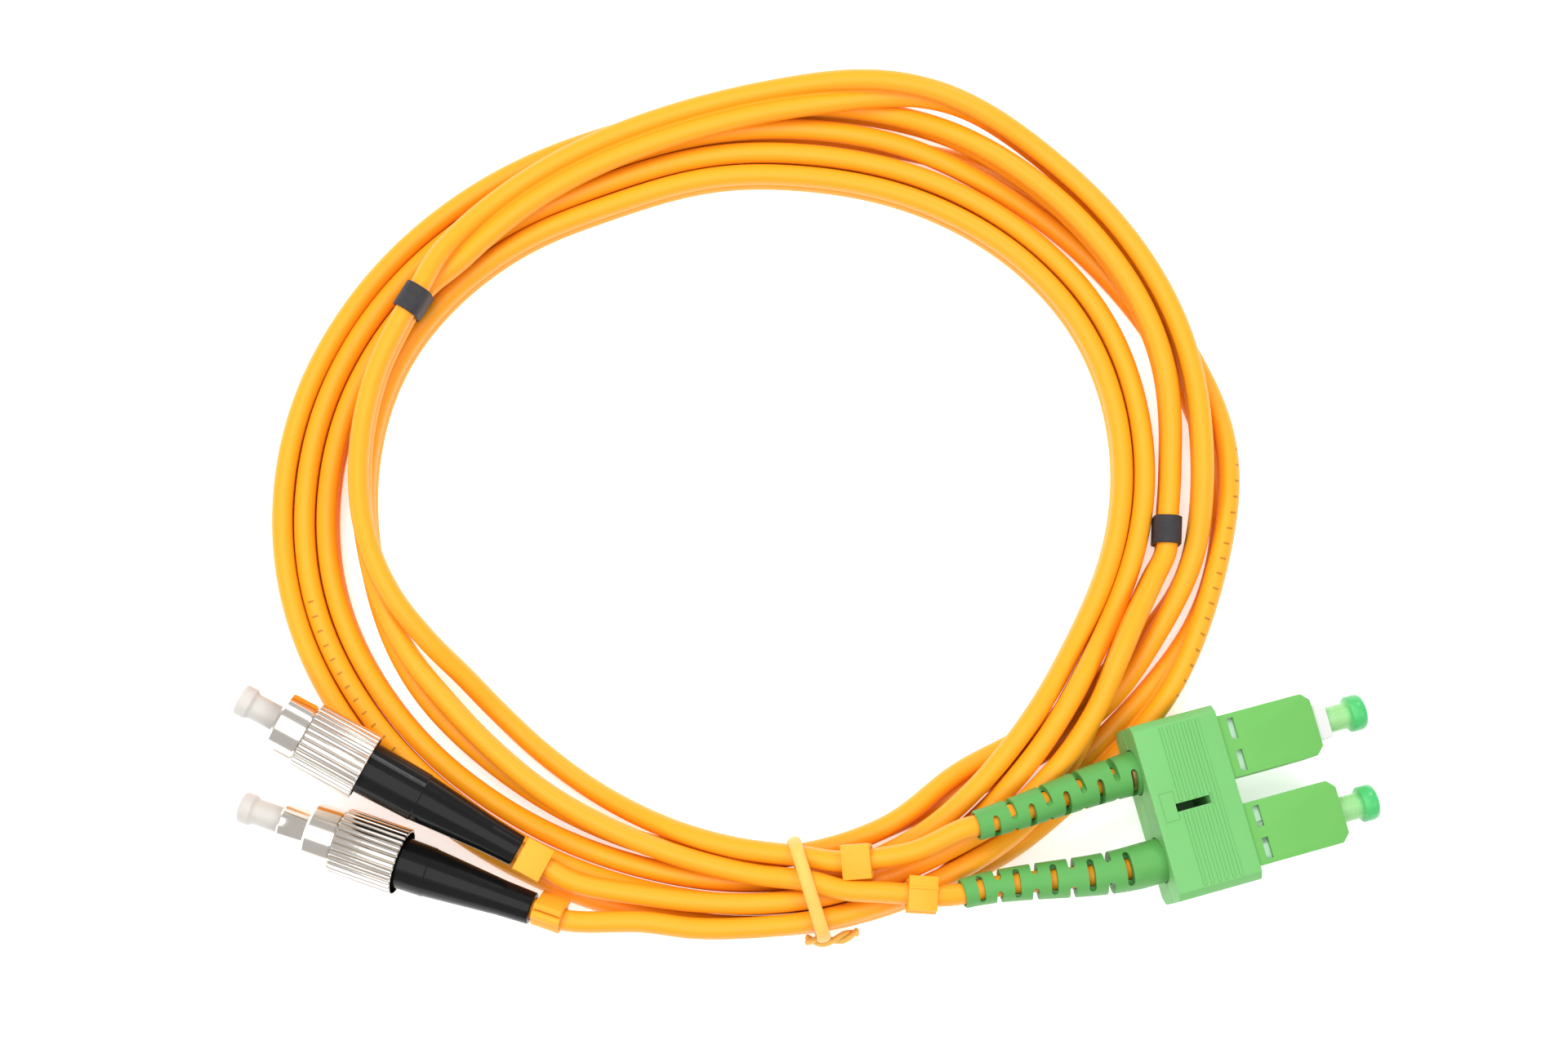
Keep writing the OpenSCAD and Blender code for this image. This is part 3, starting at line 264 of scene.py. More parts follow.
steps = 1200
first, last = stations[0][0], stations[-1][0]
angles = [first, first + 1.5]
angles += [first + 3 + (last - first - 6) * i / steps for i in range(steps + 1)]
angles += [last - 1.5, last]


def evened(values, reach):
    """Running mean that takes the last stiffness out of the bends and leaves the ends still."""
    smooth = []
    for i in range(len(values)):
        k = min(reach, max(i - 3, 0), max(len(values) - 4 - i, 0))
        smooth.append(sum(values[i - k : i + k + 1], Vector()) / (2 * k + 1))
    return smooth


places = [cord_at(a) for a in angles]
places = list(zip(evened([p for p, _ in places], 4), evened([d for _, d in places], 7)))
# the mean may not press the cord into the table
for p, d in places:
    p.z = max(p.z, strand / 2 + abs(d.normalized().z) * pitch / 2 + 0.03)
joined_cord = tube("joined_cord", [p for p, _ in places], [d for _, d in places], cord_outline)


def new_group(name, numbers):
    """An empty node group that takes two colours, a roughness with its spread and these numbers,
    and puts out a colour, a roughness and a height."""
    group = bpy.data.node_groups.new(name, "ShaderNodeTree")
    for way, kind, sockets in (
        ("INPUT", "NodeSocketColor", ("Colour", "Second Colour")),
        ("INPUT", "NodeSocketFloat", (*numbers, "Roughness", "Roughness Spread")),
        ("OUTPUT", "NodeSocketColor", ("Colour",)),
        ("OUTPUT", "NodeSocketFloat", ("Roughness", "Height")),
    ):
        for socket in sockets:
            group.interface.new_socket(socket, in_out=way, socket_type=kind)
    return group


def vary(group, given, out, colour_mask, roughness_mask, height):
    """Ends a group: one mask mixes its colours, one spreads its roughness, one is its height."""
    nodes, links = group.nodes, group.links
    mix = nodes.new("ShaderNodeMix")
    mix.data_type = "RGBA"
    spread = nodes.new("ShaderNodeMath")
    spread.operation = "MULTIPLY_ADD"
    links.new(colour_mask, mix.inputs["Factor"])
    links.new(given.outputs["Colour"], mix.inputs[6])
    links.new(given.outputs["Second Colour"], mix.inputs[7])
    links.new(roughness_mask, spread.inputs[0])
    links.new(given.outputs["Roughness Spread"], spread.inputs[1])
    links.new(given.outputs["Roughness"], spread.inputs[2])
    links.new(mix.outputs[2], out.inputs["Colour"])
    links.new(spread.outputs[0], out.inputs["Roughness"])
    links.new(height, out.inputs["Height"])


def grain_group():
    """Fine grain that every moulded plastic here has: a small shift of colour, roughness and
    height."""
    group = new_group("plastic_grain", ("Grain Size", "Cloud Size"))
    nodes, links = group.nodes, group.links
    given, out = nodes.new("NodeGroupInput"), nodes.new("NodeGroupOutput")
    place = nodes.new("ShaderNodeTexCoord")
    grain, cloud = nodes.new("ShaderNodeTexNoise"), nodes.new("ShaderNodeTexNoise")
    grain.inputs["Detail"].default_value = 2
    cloud.inputs["Detail"].default_value = 3
    links.new(place.outputs["Object"], grain.inputs["Vector"])
    links.new(place.outputs["Object"], cloud.inputs["Vector"])
    links.new(given.outputs["Grain Size"], grain.inputs["Scale"])
    links.new(given.outputs["Cloud Size"], cloud.inputs["Scale"])
    vary(group, given, out, cloud.outputs["Fac"], grain.outputs["Fac"], grain.outputs["Fac"])
    return group


plastic_grain = grain_group()


def coated(name, group, colour, second, roughness, spread, bump, depth):
    """A new material that a node group gives its colour, roughness and relief."""
    made = bpy.data.materials.new(name)
    made.use_nodes = True
    nodes, links = made.node_tree.nodes, made.node_tree.links
    shader, body = nodes["Principled BSDF"], nodes.new("ShaderNodeGroup")
    body.node_tree = group
    body.inputs["Colour"].default_value = (*colour, 1)
    body.inputs["Second Colour"].default_value = (*second, 1)
    body.inputs["Roughness"].default_value = roughness
    body.inputs["Roughness Spread"].default_value = spread
    relief = nodes.new("ShaderNodeBump")
    relief.inputs["Strength"].default_value = bump
    relief.inputs["Distance"].default_value = depth
    links.new(body.outputs["Colour"], shader.inputs["Base Color"])
    links.new(body.outputs["Roughness"], shader.inputs["Roughness"])
    links.new(body.outputs["Height"], relief.inputs["Height"])
    links.new(relief.outputs["Normal"], shader.inputs["Normal"])
    return made, body


def plastic(name, colour, second, roughness, spread=0.12, grain=2600, cloud=60, bump=0.02):
    """A moulded plastic with its grain, as a material of its own."""
    made, body = coated(name, plastic_grain, colour, second, roughness, spread, bump, 0.0001)
    body.inputs["Grain Size"].default_value = grain
    body.inputs["Cloud Size"].default_value = cloud
    return made


def paint_all(pieces, material):
    for piece in pieces:
        piece.data.materials.clear()
        piece.data.materials.append(material)


orange_jacket = plastic(
    "orange_jacket", (0.95, 0.375, 0.012), (0.93, 0.34, 0.01), 0.36, cloud=25, bump=0.05
)
# the joined cord carries a row of length ticks along two stretches of its first strand: their
# pitch in metres, the inked share of it, their place round the strand and half their length
tick_pitch, tick_share, tick_place, tick_half, ink_strength = 0.0022, 0.14, 0.52, 0.05, 0.6
ticked_angles = ((336, 368), (551, 575))
ticked_jacket = orange_jacket.copy()
ticked_jacket.name = "ticked_jacket"
nodes, links = ticked_jacket.node_tree.nodes, ticked_jacket.node_tree.links
shader = nodes["Principled BSDF"]
jacket_colour = shader.inputs["Base Color"].links[0].from_socket


def reckon(operation, first_input, second_input, third_input=None):
    node = nodes.new("ShaderNodeMath")
    node.operation = operation
    for socket, given in zip(node.inputs, (first_input, second_input, third_input)):
        if isinstance(given, bpy.types.NodeSocket):
            links.new(given, socket)
        elif given is not None:
            socket.default_value = given
    return node.outputs[0]


cord_uv = nodes.new("ShaderNodeUVMap")
cord_uv.uv_map = "UVMap"
turns_and_run = nodes.new("ShaderNodeSeparateXYZ")
links.new(cord_uv.outputs["UV"], turns_and_run.inputs[0])
zone = nodes.new("ShaderNodeAttribute")
zone.attribute_name = "ticked"
across = reckon("FRACT", reckon("MULTIPLY", turns_and_run.outputs[0], 2), None)
away = reckon("ABSOLUTE", reckon("SUBTRACT", across, tick_place), None)
tick = reckon("FRACT", reckon("DIVIDE", turns_and_run.outputs[1], tick_pitch), None)
ink = reckon(
    "MULTIPLY", reckon("LESS_THAN", tick, tick_share), reckon("LESS_THAN", away, tick_half)
)
ink = reckon("MULTIPLY", reckon("MULTIPLY", ink, zone.outputs["Fac"]), ink_strength)
inked = nodes.new("ShaderNodeMix")
inked.data_type = "RGBA"
inked.inputs[7].default_value = (0.16, 0.05, 0.006, 1)
links.new(ink, inked.inputs[0])
links.new(jacket_colour, inked.inputs[6])
links.new(inked.outputs[2], shader.inputs["Base Color"])

paint_all([joined_cord], ticked_jacket)
ticked = joined_cord.data.attributes.new("ticked", "FLOAT", "POINT")
rows = []
for angle in angles:
    inked_here = any(low < angle < high for low, high in ticked_angles)
    rows += [float(inked_here)] * len(cord_outline)
ticked.data.foreach_set("value", rows + [0.0, 0.0])
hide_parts("duplex_cable")
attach(joined_cord, "cord")

# ---- Single strands ----
# Past the split each strand goes on alone, a round 3 mm cord, up to the crimp of its plug. The
# two FC strands run back under the tie, and the two SC strands cross the bundle inside.
fc_a = ((-33.1, -48.3, 9.2), 151.4, 4.5)
fc_b = ((-31, -56.3, 8.3), 160.8, -5.5)
duplex_start, duplex_heading, duplex_tilt = Vector((28, -50.95, 12.95)), 15.5, 9.6


def fc_point(plug, s):
    """Point on the axis of an FC plug, s millimetres in front of the tail of its boot."""
    start, heading, climb = plug
    h, c = math.radians(heading), math.radians(climb)
    ahead = (math.cos(h) * math.cos(c), math.sin(h) * math.cos(c), math.sin(c))
    return Vector(start) + s * Vector(ahead)


duplex_frame = Matrix.Rotation(math.radians(duplex_heading), 3, "Z") @ Matrix.Rotation(
    math.radians(duplex_tilt), 3, "Y"
)
sc_side = {"a": 6.35, "b": -6.35}
# where the bend starts, its length, and the rise and swing of the tail
boot_bend = {"a": (27.4, 23.15, 1.4, -1.3), "b": (25.3, 25.35, -1.8, 2.9)}


def sc_bend_point(side, s):
    """Point on the bent axis of an SC boot, measured along the plug."""
    start, length, rise, swing = boot_bend[side]
    k = ease((start - s) / length)
    lean = duplex_frame @ Vector((s, sc_side[side] + k * swing, 0))
    return duplex_start + lean + Vector((0, 0, k * rise))


strand_routes = {
    "fc_a": [
        (357.5, 58.8, 5.25), (354.5, 58.8, 5.25), (350.5, 57.5, 6), (344, 56, 8),
        (337, 55.5, 8.8), (330, 55.8, 7.9), (323, 56, 7.6), (316, 56, 7.5), (310, 56, 7.7),
        (304, 55.4, 8.8), (298, 55.1, 8.4), (291, 55.1, 8.4), (284, 55.2, 8.6),
        (278, 55.4, 8.7), (270, 55.6, 8.6), (262, 55.9, 8.3), (254, 56.6, 8.1),
    ],
    "fc_b": [
        (357.5, 58.8, 2.15), (354.5, 58.8, 2.15), (350.5, 57.3, 2.9), (344, 55.8, 4.9),
        (337, 55.3, 5.7), (330, 55.8, 4.8), (323, 56.8, 4.7), (316, 57.8, 4.7), (310, 58.4, 5),
        (304, 58.4, 7.4), (298, 58.3, 8.2), (291, 58.3, 8.4), (284, 58.4, 8.6), (278, 58.6, 8.7),
        (270, 58.9, 8.6), (262, 59.6, 8.4), (255, 60.2, 8.5),
    ],
    "sc_a": [
        (148.6, 57, 11.55), (151.6, 57, 11.55), (160, 57.1, 11.2), (169, 56.7, 11),
        (178, 55.9, 11), (186, 54.6, 11), (194, 52.5, 10.7), (202, 49.8, 8.9), (210, 47.4, 5.6),
        (218, 46.2, 3), (228, 45.6, 2), (239, 45.6, 2.3), (249, 46.1, 4.2), (258, 46.9, 6.8),
        (267, 47.9, 8.6), (278, 49.6, 10.3),
    ],
    "sc_b": [
        (148.6, 57, 8.45), (151.6, 57, 8.45), (160, 57.1, 8.1), (169, 56.7, 7.9),
        (178, 55.9, 7.9), (186, 55.2, 7.9), (194, 54.4, 7.9), (203, 53, 7.8), (212, 51.3, 7.8),
        (222, 50.2, 7.8), (233, 49.7, 7.8), (244, 49.5, 7.9), (254, 49.8, 7.9),
        (262, 50.5, 8.3), (270, 51.6, 9.1), (278, 53, 10.9), (283, 55.2, 12),
    ],
}
strand_ends = {
    "fc_a": [fc_point(fc_a, s) for s in (-9, -4, 0, 7, 14)],
    "fc_b": [fc_point(fc_b, s) for s in (-5, 0, 7, 14)],
    "sc_a": [Vector(p) for p in ((11.6, -49.8, 11.1), (17, -49.4, 11.9), (22.4, -48.4, 12.6))]
    + [sc_bend_point("a", s) for s in (2.25, 4.25, 8, 12, 16, 20, 24, 27.4, 29.75)],
    "sc_b": [Vector(p) for p in ((17.3, -54.1, 12.5), (20.4, -54.3, 12.4), (25.8, -54.6, 11.8))]
    + [sc_bend_point("b", s) for s in (-0.05, 4, 8, 12, 16, 20, 25.3, 27.65)],
}


def between(p, q, start, end, t):
    """The point at t on the straight run from p at start to q at end."""
    return p * ((end - t) / (end - start)) + q * ((t - start) / (end - start))


def smooth_run(points, gap=0.8):
    """Points about gap millimetres apart on a smooth curve through the given ones."""
    run = [points[0]]
    for i in range(len(points) - 1):
        p, q = points[i], points[i + 1]
        before = points[i - 1] if i else p + (p - q)
        after = points[i + 2] if i + 2 < len(points) else q + (q - p)
        knots = [0.0]
        for m, n in ((before, p), (p, q), (q, after)):
            knots.append(knots[-1] + max((n - m).length, 0.01) ** 0.5)
        t0, t1, t2, t3 = knots
        count = max(2, round((q - p).length / gap))
        for step in range(1, count + 1):
            t = t1 + (t2 - t1) * step / count
            a1, a2 = between(before, p, t0, t1, t), between(p, q, t1, t2, t)
            a3 = between(q, after, t2, t3, t)
            b1, b2 = between(a1, a2, t0, t2, t), between(a2, a3, t1, t3, t)
            run.append(between(b1, b2, t1, t2, t))
    return run


def round_outline(radius, count):
    """A circle that tube() can sweep, clockwise about the way ahead."""
    turn = [2 * math.pi * i / count for i in range(count)]
    return [(-radius * math.cos(a), radius * math.sin(a)) for a in turn]


strands, strand_runs = {}, {}
for name, route in strand_routes.items():
    ends = strand_ends[name]
    run = smooth_run([round_coil(*place) for place in route] + ends)
    piece = tube(
        name + "_strand", run, [Vector((0, 0, 1))] * len(run), round_outline(strand / 2, 28)
    )
    strands[name], strand_runs[name] = piece, run
    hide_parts(name + "_leg")
    if name.startswith("sc"):
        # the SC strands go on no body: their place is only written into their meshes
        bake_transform(piece)
    else:
        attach(piece, "cord")
paint_all(strands.values(), orange_jacket)

# ---- Sleeves at the split ----
# A short ring of black heat-shrink at each end of the joined cord keeps the split from running.
# It has a slot-shaped hole for both strands and a fine matt skin.
split_play, split_wall, split_edge, split_length = 0.12, 0.4, 0.12, 4.0
black_shrink = plastic(
    "black_shrink", (0.022, 0.021, 0.024), (0.045, 0.043, 0.047), 0.62,
    spread=0.2, grain=5200, cloud=900, bump=0.35,
)


def choose(*pieces):
    """Selects only these pieces, the first of them active."""
    bpy.ops.object.select_all(action="DESELECT")
    for piece in pieces:
        piece.select_set(True)
    bpy.context.view_layer.objects.active = pieces[0]


def fix_place(piece):
    """Writes the piece's place, turn and size into its mesh."""
    choose(piece)
    bpy.ops.object.transform_apply(location=True, rotation=True, scale=True)


def smooth(piece, degrees):
    """Shades the faces smoothly, except across edges sharper than this."""
    choose(piece)
    bpy.ops.object.shade_smooth_by_angle(angle=math.radians(degrees))


def soften(piece, width, limit=38, shading=32):
    """Rounds the sharp edges by a small radius and shades the faces smoothly across them."""
    choose(piece)
    edge = piece.modifiers.new("edge", "BEVEL")
    edge.width = width
    edge.segments = 2
    edge.limit_method = "ANGLE"
    edge.angle_limit = math.radians(limit)
    bpy.ops.object.modifier_apply(modifier=edge.name)
    if shading:
        smooth(piece, shading)


split_sleeves = []
for end, angle in (("fc", first), ("sc", last)):
    middle, across_strands = cord_at(angle)
    bpy.ops.mesh.primitive_cylinder_add(
        vertices=48, radius=strand / 2 + split_play, depth=split_length, end_fill_type="NOTHING"
    )
    sleeve = bpy.context.object
    sleeve.name = end + "_split_band"
    # pull the two halves of the ring apart to the pitch of the strands
    for v in sleeve.data.vertices:
        v.co.y += math.copysign(pitch / 2, v.co.y)
        v.co *= mm
    wall = sleeve.modifiers.new("wall", "SOLIDIFY")
    wall.thickness = split_wall * mm
    wall.offset = 1
    bpy.ops.object.modifier_apply(modifier=wall.name)
    soften(sleeve, split_edge * mm, limit=50, shading=35)
    out = round_coil(angle, 1, 0)
    turn = Matrix((out, across_strands, out.cross(across_strands))).transposed().to_4x4()
    sleeve.matrix_world = Matrix.Translation((middle + coil) * mm) @ turn
    fix_place(sleeve)
    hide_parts(end + "_split_sleeve")
    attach(sleeve, "cord")
    split_sleeves.append(sleeve)
paint_all(split_sleeves, black_shrink)

# for each FC strand this looks up the tail of its plug's boot, which nothing below uses
for name, run in strand_runs.items():
    if name.startswith("fc"):
        boot_tail = (fc_a if name == "fc_a" else fc_b)[0]

# ---- Strand markers ----
# A yellow PVC clip on each strand tells the two channels apart. It is an open ring with a flat
# top plate and a small round bead along one side, pushed over the cord by hand.
marker_length, marker_bore, marker_outside = 4.1, 3.24, 4.2
plate_width, plate_thickness, plate_top, plate_edge = 4.9, 0.9, 2.25, 0.16
bead_radius, bead_bore, bead_y, bead_z = 0.72, 0.3, -1.95, 0.35
ridge_radius, ridge_y = 0.3, 0.75
yellow_pvc = plastic(
    "yellow_pvc", (0.92, 0.405, 0.026), (0.9, 0.37, 0.019), 0.42,
    spread=0.12, grain=2600, cloud=200, bump=0.1,
)


def lathe(name, outline, sides=64, closed=False):
    """A turned piece in millimetres about the x axis: a ring drawn out and widened along x for
    each (x, radius). A closed outline comes back to its start, as on a piece with a bore."""
    x0, r0 = outline[0]
    start = max(r0, 0.001)
    bpy.ops.mesh.primitive_circle_add(vertices=sides, radius=start, rotation=(0, math.pi / 2, 0))
    piece = bpy.context.object
    piece.name = name
    piece.location.x = x0
    fix_place(piece)
    bpy.ops.object.mode_set(mode="EDIT")
    bpy.ops.mesh.select_all(action="SELECT")
    at, radius = x0, start
    for x, r in list(outline[1:]) + ([outline[0]] if closed else []):
        r = max(r, 0.001)
        bpy.ops.mesh.extrude_region_move(TRANSFORM_OT_translate={"value": (x - at, 0, 0)})
        if r != radius:
            bpy.ops.transform.resize(
                value=(1, r / radius, r / radius), center_override=(x, 0, 0)
            )
        at, radius = x, r
    bpy.ops.mesh.select_all(action="SELECT")
    bpy.ops.mesh.remove_doubles(threshold=0.005)
    bpy.ops.mesh.normals_make_consistent(inside=False)
    bpy.ops.object.mode_set(mode="OBJECT")
    return piece


def rod(name, x, radius, sides=64, y=0, z=0):
    """A plain rod in millimetres along x, between the ends given for x, at y and z."""
    piece = lathe(name, [(x[0], 0), (x[0], radius), (x[1], radius), (x[1], 0)], sides)
    piece.location = (0, y, z)
    fix_place(piece)
    return piece


def about(middle, width):
    """The two ends of a width that lies evenly about its middle."""
    return middle - width / 2, middle + width / 2


def block(name, x, y, z, round_off=0.0):
    """A rectangular block in millimetres between the ends given for x, y and z."""
    bpy.ops.mesh.primitive_cube_add(size=1)
    piece = bpy.context.object
    piece.name = name
    piece.scale = (x[1] - x[0], y[1] - y[0], z[1] - z[0])
    piece.location = ((x[0] + x[1]) / 2, (y[0] + y[1]) / 2, (z[0] + z[1]) / 2)
    fix_place(piece)
    if round_off:
        soften(piece, round_off, shading=0)
    return piece


def face_outwards(piece, close_ends=False):
    """Closes the open ends of a piece if asked, and turns its faces outwards."""
    choose(piece)
    bpy.ops.object.mode_set(mode="EDIT")
    bpy.ops.mesh.select_all(action="SELECT")
    if close_ends:
        bpy.ops.mesh.fill_holes(sides=0)
    bpy.ops.mesh.normals_make_consistent(inside=False)
    bpy.ops.object.mode_set(mode="OBJECT")


def carve(piece, *tools, operation="DIFFERENCE"):
    """Cuts the tools out of the piece, or joins them to it, and clears them away."""
    for tool in tools:
        choose(piece)
        cut = piece.modifiers.new("cut", "BOOLEAN")
        cut.operation = operation
        cut.solver = "EXACT"
        cut.object = tool
        bpy.ops.object.modifier_apply(modifier=cut.name)
        bpy.data.objects.remove(tool)


def twin(piece):
    """A copy of a piece, with a mesh of its own."""
    copy = piece.copy()
    copy.data = piece.data.copy()
    bpy.context.scene.collection.objects.link(copy)
    return copy


def settle(piece, name, placing, material, node):
    """A copy of a finished piece, fixed in place of its node and on that node's body."""
    copy = twin(piece)
    copy.name = name
    copy.matrix_world = placing
    fix_place(copy)
    paint_all([copy], material)
    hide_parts(node)
    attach(copy, frame["nodes"][node]["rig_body"])
    return copy


def along_line(start, ahead, roll=0):
    """Placing of a piece made about the x axis in millimetres, on a line in the coil's frame."""
    ahead = ahead.normalized()
    side = Vector((0, 0, 1)).cross(ahead).normalized()
    turned = Matrix((ahead, side, ahead.cross(side))).transposed()
    turned = turned @ Matrix.Rotation(math.radians(roll), 3, "X")
    return Matrix.Translation((start + coil) * mm) @ turned.to_4x4() @ Matrix.Scale(mm, 4)


ends = about(0, marker_length)
marker = lathe("marker", [(x, marker_outside / 2) for x in ends], 48)
face_outwards(marker, close_ends=True)
plate = block(
    "plate", ends, about(0, plate_width), (plate_top - plate_thickness, plate_top), plate_edge
)
bead = rod("bead", ends, bead_radius, 24, bead_y, bead_z)
carve(marker, plate, bead, operation="UNION")
bore = rod("bore", (-3, 3), marker_bore / 2, 48)
hole = rod("hole", (-3, 3), bead_bore, 16, bead_y, bead_z)
carve(marker, bore, hole)
ridged_marker = twin(marker)
ridge = rod("ridge", ends, ridge_radius, 16, ridge_y, plate_top - plate_edge)
carve(ridged_marker, ridge, operation="UNION")
for pattern in (marker, ridged_marker):
    soften(pattern, 0.1, limit=48)

markers = []
sc_a_run, sc_b_run = strand_ends["sc_a"][:2], strand_ends["sc_b"][1:3]
for strand_name, start, ahead, roll in (
    ("fc_a", fc_point(fc_a, -2.5), fc_point(fc_a, -5) - fc_point(fc_a, 0), 0),
    ("fc_b", fc_point(fc_b, -2.5), fc_point(fc_b, -5) - fc_point(fc_b, 0), -62),
    ("sc_a", (sc_a_run[0] + sc_a_run[1]) / 2, sc_a_run[1] - sc_a_run[0], 10),
    ("sc_b", (sc_b_run[0] + sc_b_run[1]) / 2, sc_b_run[1] - sc_b_run[0], -4),
):
    markers.append(settle(
        ridged_marker if strand_name == "sc_b" else marker, strand_name + "_channel_marker",
        along_line(start, ahead, roll), yellow_pvc, strand_name + "_marker",
    ))
for pattern in (marker, ridged_marker):
    bpy.data.objects.remove(pattern)

# ---- Wire tie ----
# A thin steel wire in a half-round yellow plastic band, pulled round the whole bundle by hand.
# Its two ends are twisted together and folded flat against the outer side.
tie_turn, tie_swing, tie_width, tie_depth = 9.4, 54, 1.9, 0.7
# loop of the band round the bundle: distance from the coil's middle, height
tie_loop = (
    (47.8, 0.82), (54, 0.8), (60.4, 0.82), (61, 1.6), (61.05, 5.4), (61, 9.3), (60.2, 10.6),
    (57.4, 11.65), (54.6, 12.5), (52.8, 12.8), (50.7, 12.6), (48.7, 12.1), (47.6, 10.8),
    (47.2, 9), (47.15, 5.2), (47.2, 1.4),
)
yellow_tie = plastic(
    "yellow_tie", (0.83, 0.51, 0.11), (0.8, 0.47, 0.09), 0.36,
    spread=0.15, grain=2600, cloud=260, bump=0.15,
)


def closed_run(points, gap):
    """Points on a smooth closed curve through the given ones."""
    count = len(points)
    opened = smooth_run([points[i % count] for i in range(-2, count + 3)], gap)
    near = [min(range(len(opened)), key=lambda k: (opened[k] - points[0]).length)]
    near.append(max(range(len(opened)), key=lambda k: -(opened[k] - points[0]).length + k * 1e-4))
    low, high = min(near), max(near)
    return opened[low:high]


tie_plane = Matrix.Rotation(math.radians(tie_angle), 4, "Z")
tie_plane = tie_plane @ Matrix.Translation((tie_swing, 0, 0))
tie_plane = tie_plane @ Matrix.Rotation(math.radians(tie_turn), 4, "Z")
tie_plane = tie_plane @ Matrix.Translation((-tie_swing, 0, 0))
loop = closed_run([Vector((r, 0, z)) for r, z in tie_loop], 0.5)
middle = sum(loop, Vector()) / len(loop)
# section of the band in shares of its width and depth: across it, and out from the bundle
band_edge = 0.28
band_section = [(-0.5, 0.0), (0.5, 0.0)]
for degrees in range(0, 181, 20):
    a = math.radians(degrees)
    band_section.append((0.5 * math.cos(a), band_edge + (1 - band_edge) * math.sin(a)))
rings = []
for i, here in enumerate(loop):
    ahead = (loop[(i + 1) % len(loop)] - loop[i - 1]).normalized()
    out = Vector((-ahead.z, 0, ahead.x))
    if out.dot(here - middle) < 0:
        out = -out
    rings.append([
        tie_plane @ (here + out * d * tie_depth + Vector((0, w * tie_width, 0)))
        for w, d in band_section
    ])
count, band_faces = len(band_section), []
for i in range(len(rings)):
    following = (i + 1) % len(rings)
    for j in range(count):
        k = (j + 1) % count
        band_faces.append(
            (i * count + j, i * count + k, following * count + k, following * count + j)
        )
tie_band = new_piece("tie_band", [(p + coil) * mm for ring in rings for p in ring], band_faces)

# the twisted ends: the wires' radius, and their turn about each other at the start and per step
end_radius, first_roll, step_roll = 0.42, 20, 11
# angle, radius, height
fold_places = (
    (276.9, 60.95, 1.1), (277.6, 61.2, 1.9), (278.6, 61.45, 2.7), (279.8, 61.6, 3.4),
    (281.1, 61.6, 3.8), (282.2, 61.4, 3.8), (283.0, 61.25, 3.4), (283.6, 61.2, 2.8),
)
fold = smooth_run([round_coil(*place) for place in fold_places], 0.2)
twist_ends = []
for side in (-1, 1):
    run = []
    for i, here in enumerate(fold):
        roll = math.radians(i * step_roll + first_roll)
        out = Vector((here.x, here.y, 0)).normalized()
        aside = out * math.cos(roll) + Vector((0, 0, math.sin(roll)))
        run.append(here + side * end_radius * aside)
    twist_ends.append(
        tube("tie_end", run, [Vector((0, 0, 1))] * len(run), round_outline(end_radius, 16))
    )
choose(tie_band, *twist_ends)
bpy.ops.object.join()
face_outwards(tie_band)
smooth(tie_band, 50)
settle(tie_band, "wire_tie", Matrix.Identity(4), yellow_tie, "bag_tie")
bpy.data.objects.remove(tie_band)

# ---- FC bend-relief boots ----
# A glossy black moulded rubber cone keeps the strand from bending sharply behind each FC plug.
# It is a straight sleeve over the crimp, then a cone, then a short straight tail.
boot_outline = (
    (0, 1.68), (0, 2.18), (0.15, 2.3), (4.6, 2.5), (15.4, 3.48), (15.55, 3.56), (24, 3.8),
    (25.8, 3.8), (26, 3.68), (26, 2.5), (9.9, 2.5), (9.9, 1.68),
)
black_rubber = plastic(
    "black_rubber", (0.004, 0.004, 0.0042), (0.008, 0.008, 0.0085), 0.12,
    spread=0.1, grain=1500, cloud=140, bump=0.04,
)
black_rubber.node_tree.nodes["Principled BSDF"].inputs["Specular IOR Level"].default_value = 0.22


def fit_each(pattern, places, name, material, node):
    """Settles a copy of a finished pattern in each plug of a family and clears the pattern away.
    The letter of the plug goes into the names."""
    for letter, place in places.items():
        settle(pattern, name % letter, place, material, node % letter)
    bpy.data.objects.remove(pattern)


fc_place = {
    k: along_line(Vector(plug[0]), fc_point(plug, 1) - fc_point(plug, 0))
    for k, plug in (("a", fc_a), ("b", fc_b))
}
fc_boot = lathe("fc_boot_pattern", boot_outline, 72, closed=True)
smooth(fc_boot, 2.5)
fit_each(fc_boot, fc_place, "fc_%s_rubber_boot", black_rubber, "fc_%s_boot")

# ---- FC coupling nuts and washers ----
# The knurled brass nut is nickel plated, and screws onto the socket over the plug's front. It is
# turned from bar with straight ridges rolled in, and runs on a thin steel washer.
# the knurl's ridges, the depth between them, where it ends and the radius that it stays outside
knurl_radius, ridge_count, ridge_depth, knurl_end, knurl_root = 4.9, 30, 0.3, 9.45, 4.7
nut_front_radius, nut_length = 4.25, 13.9
thread_radius, thread_pitch, thread_depth = 3.6, 0.75, 0.2
nut_rear = {"a": 24.2, "b": 19.7}


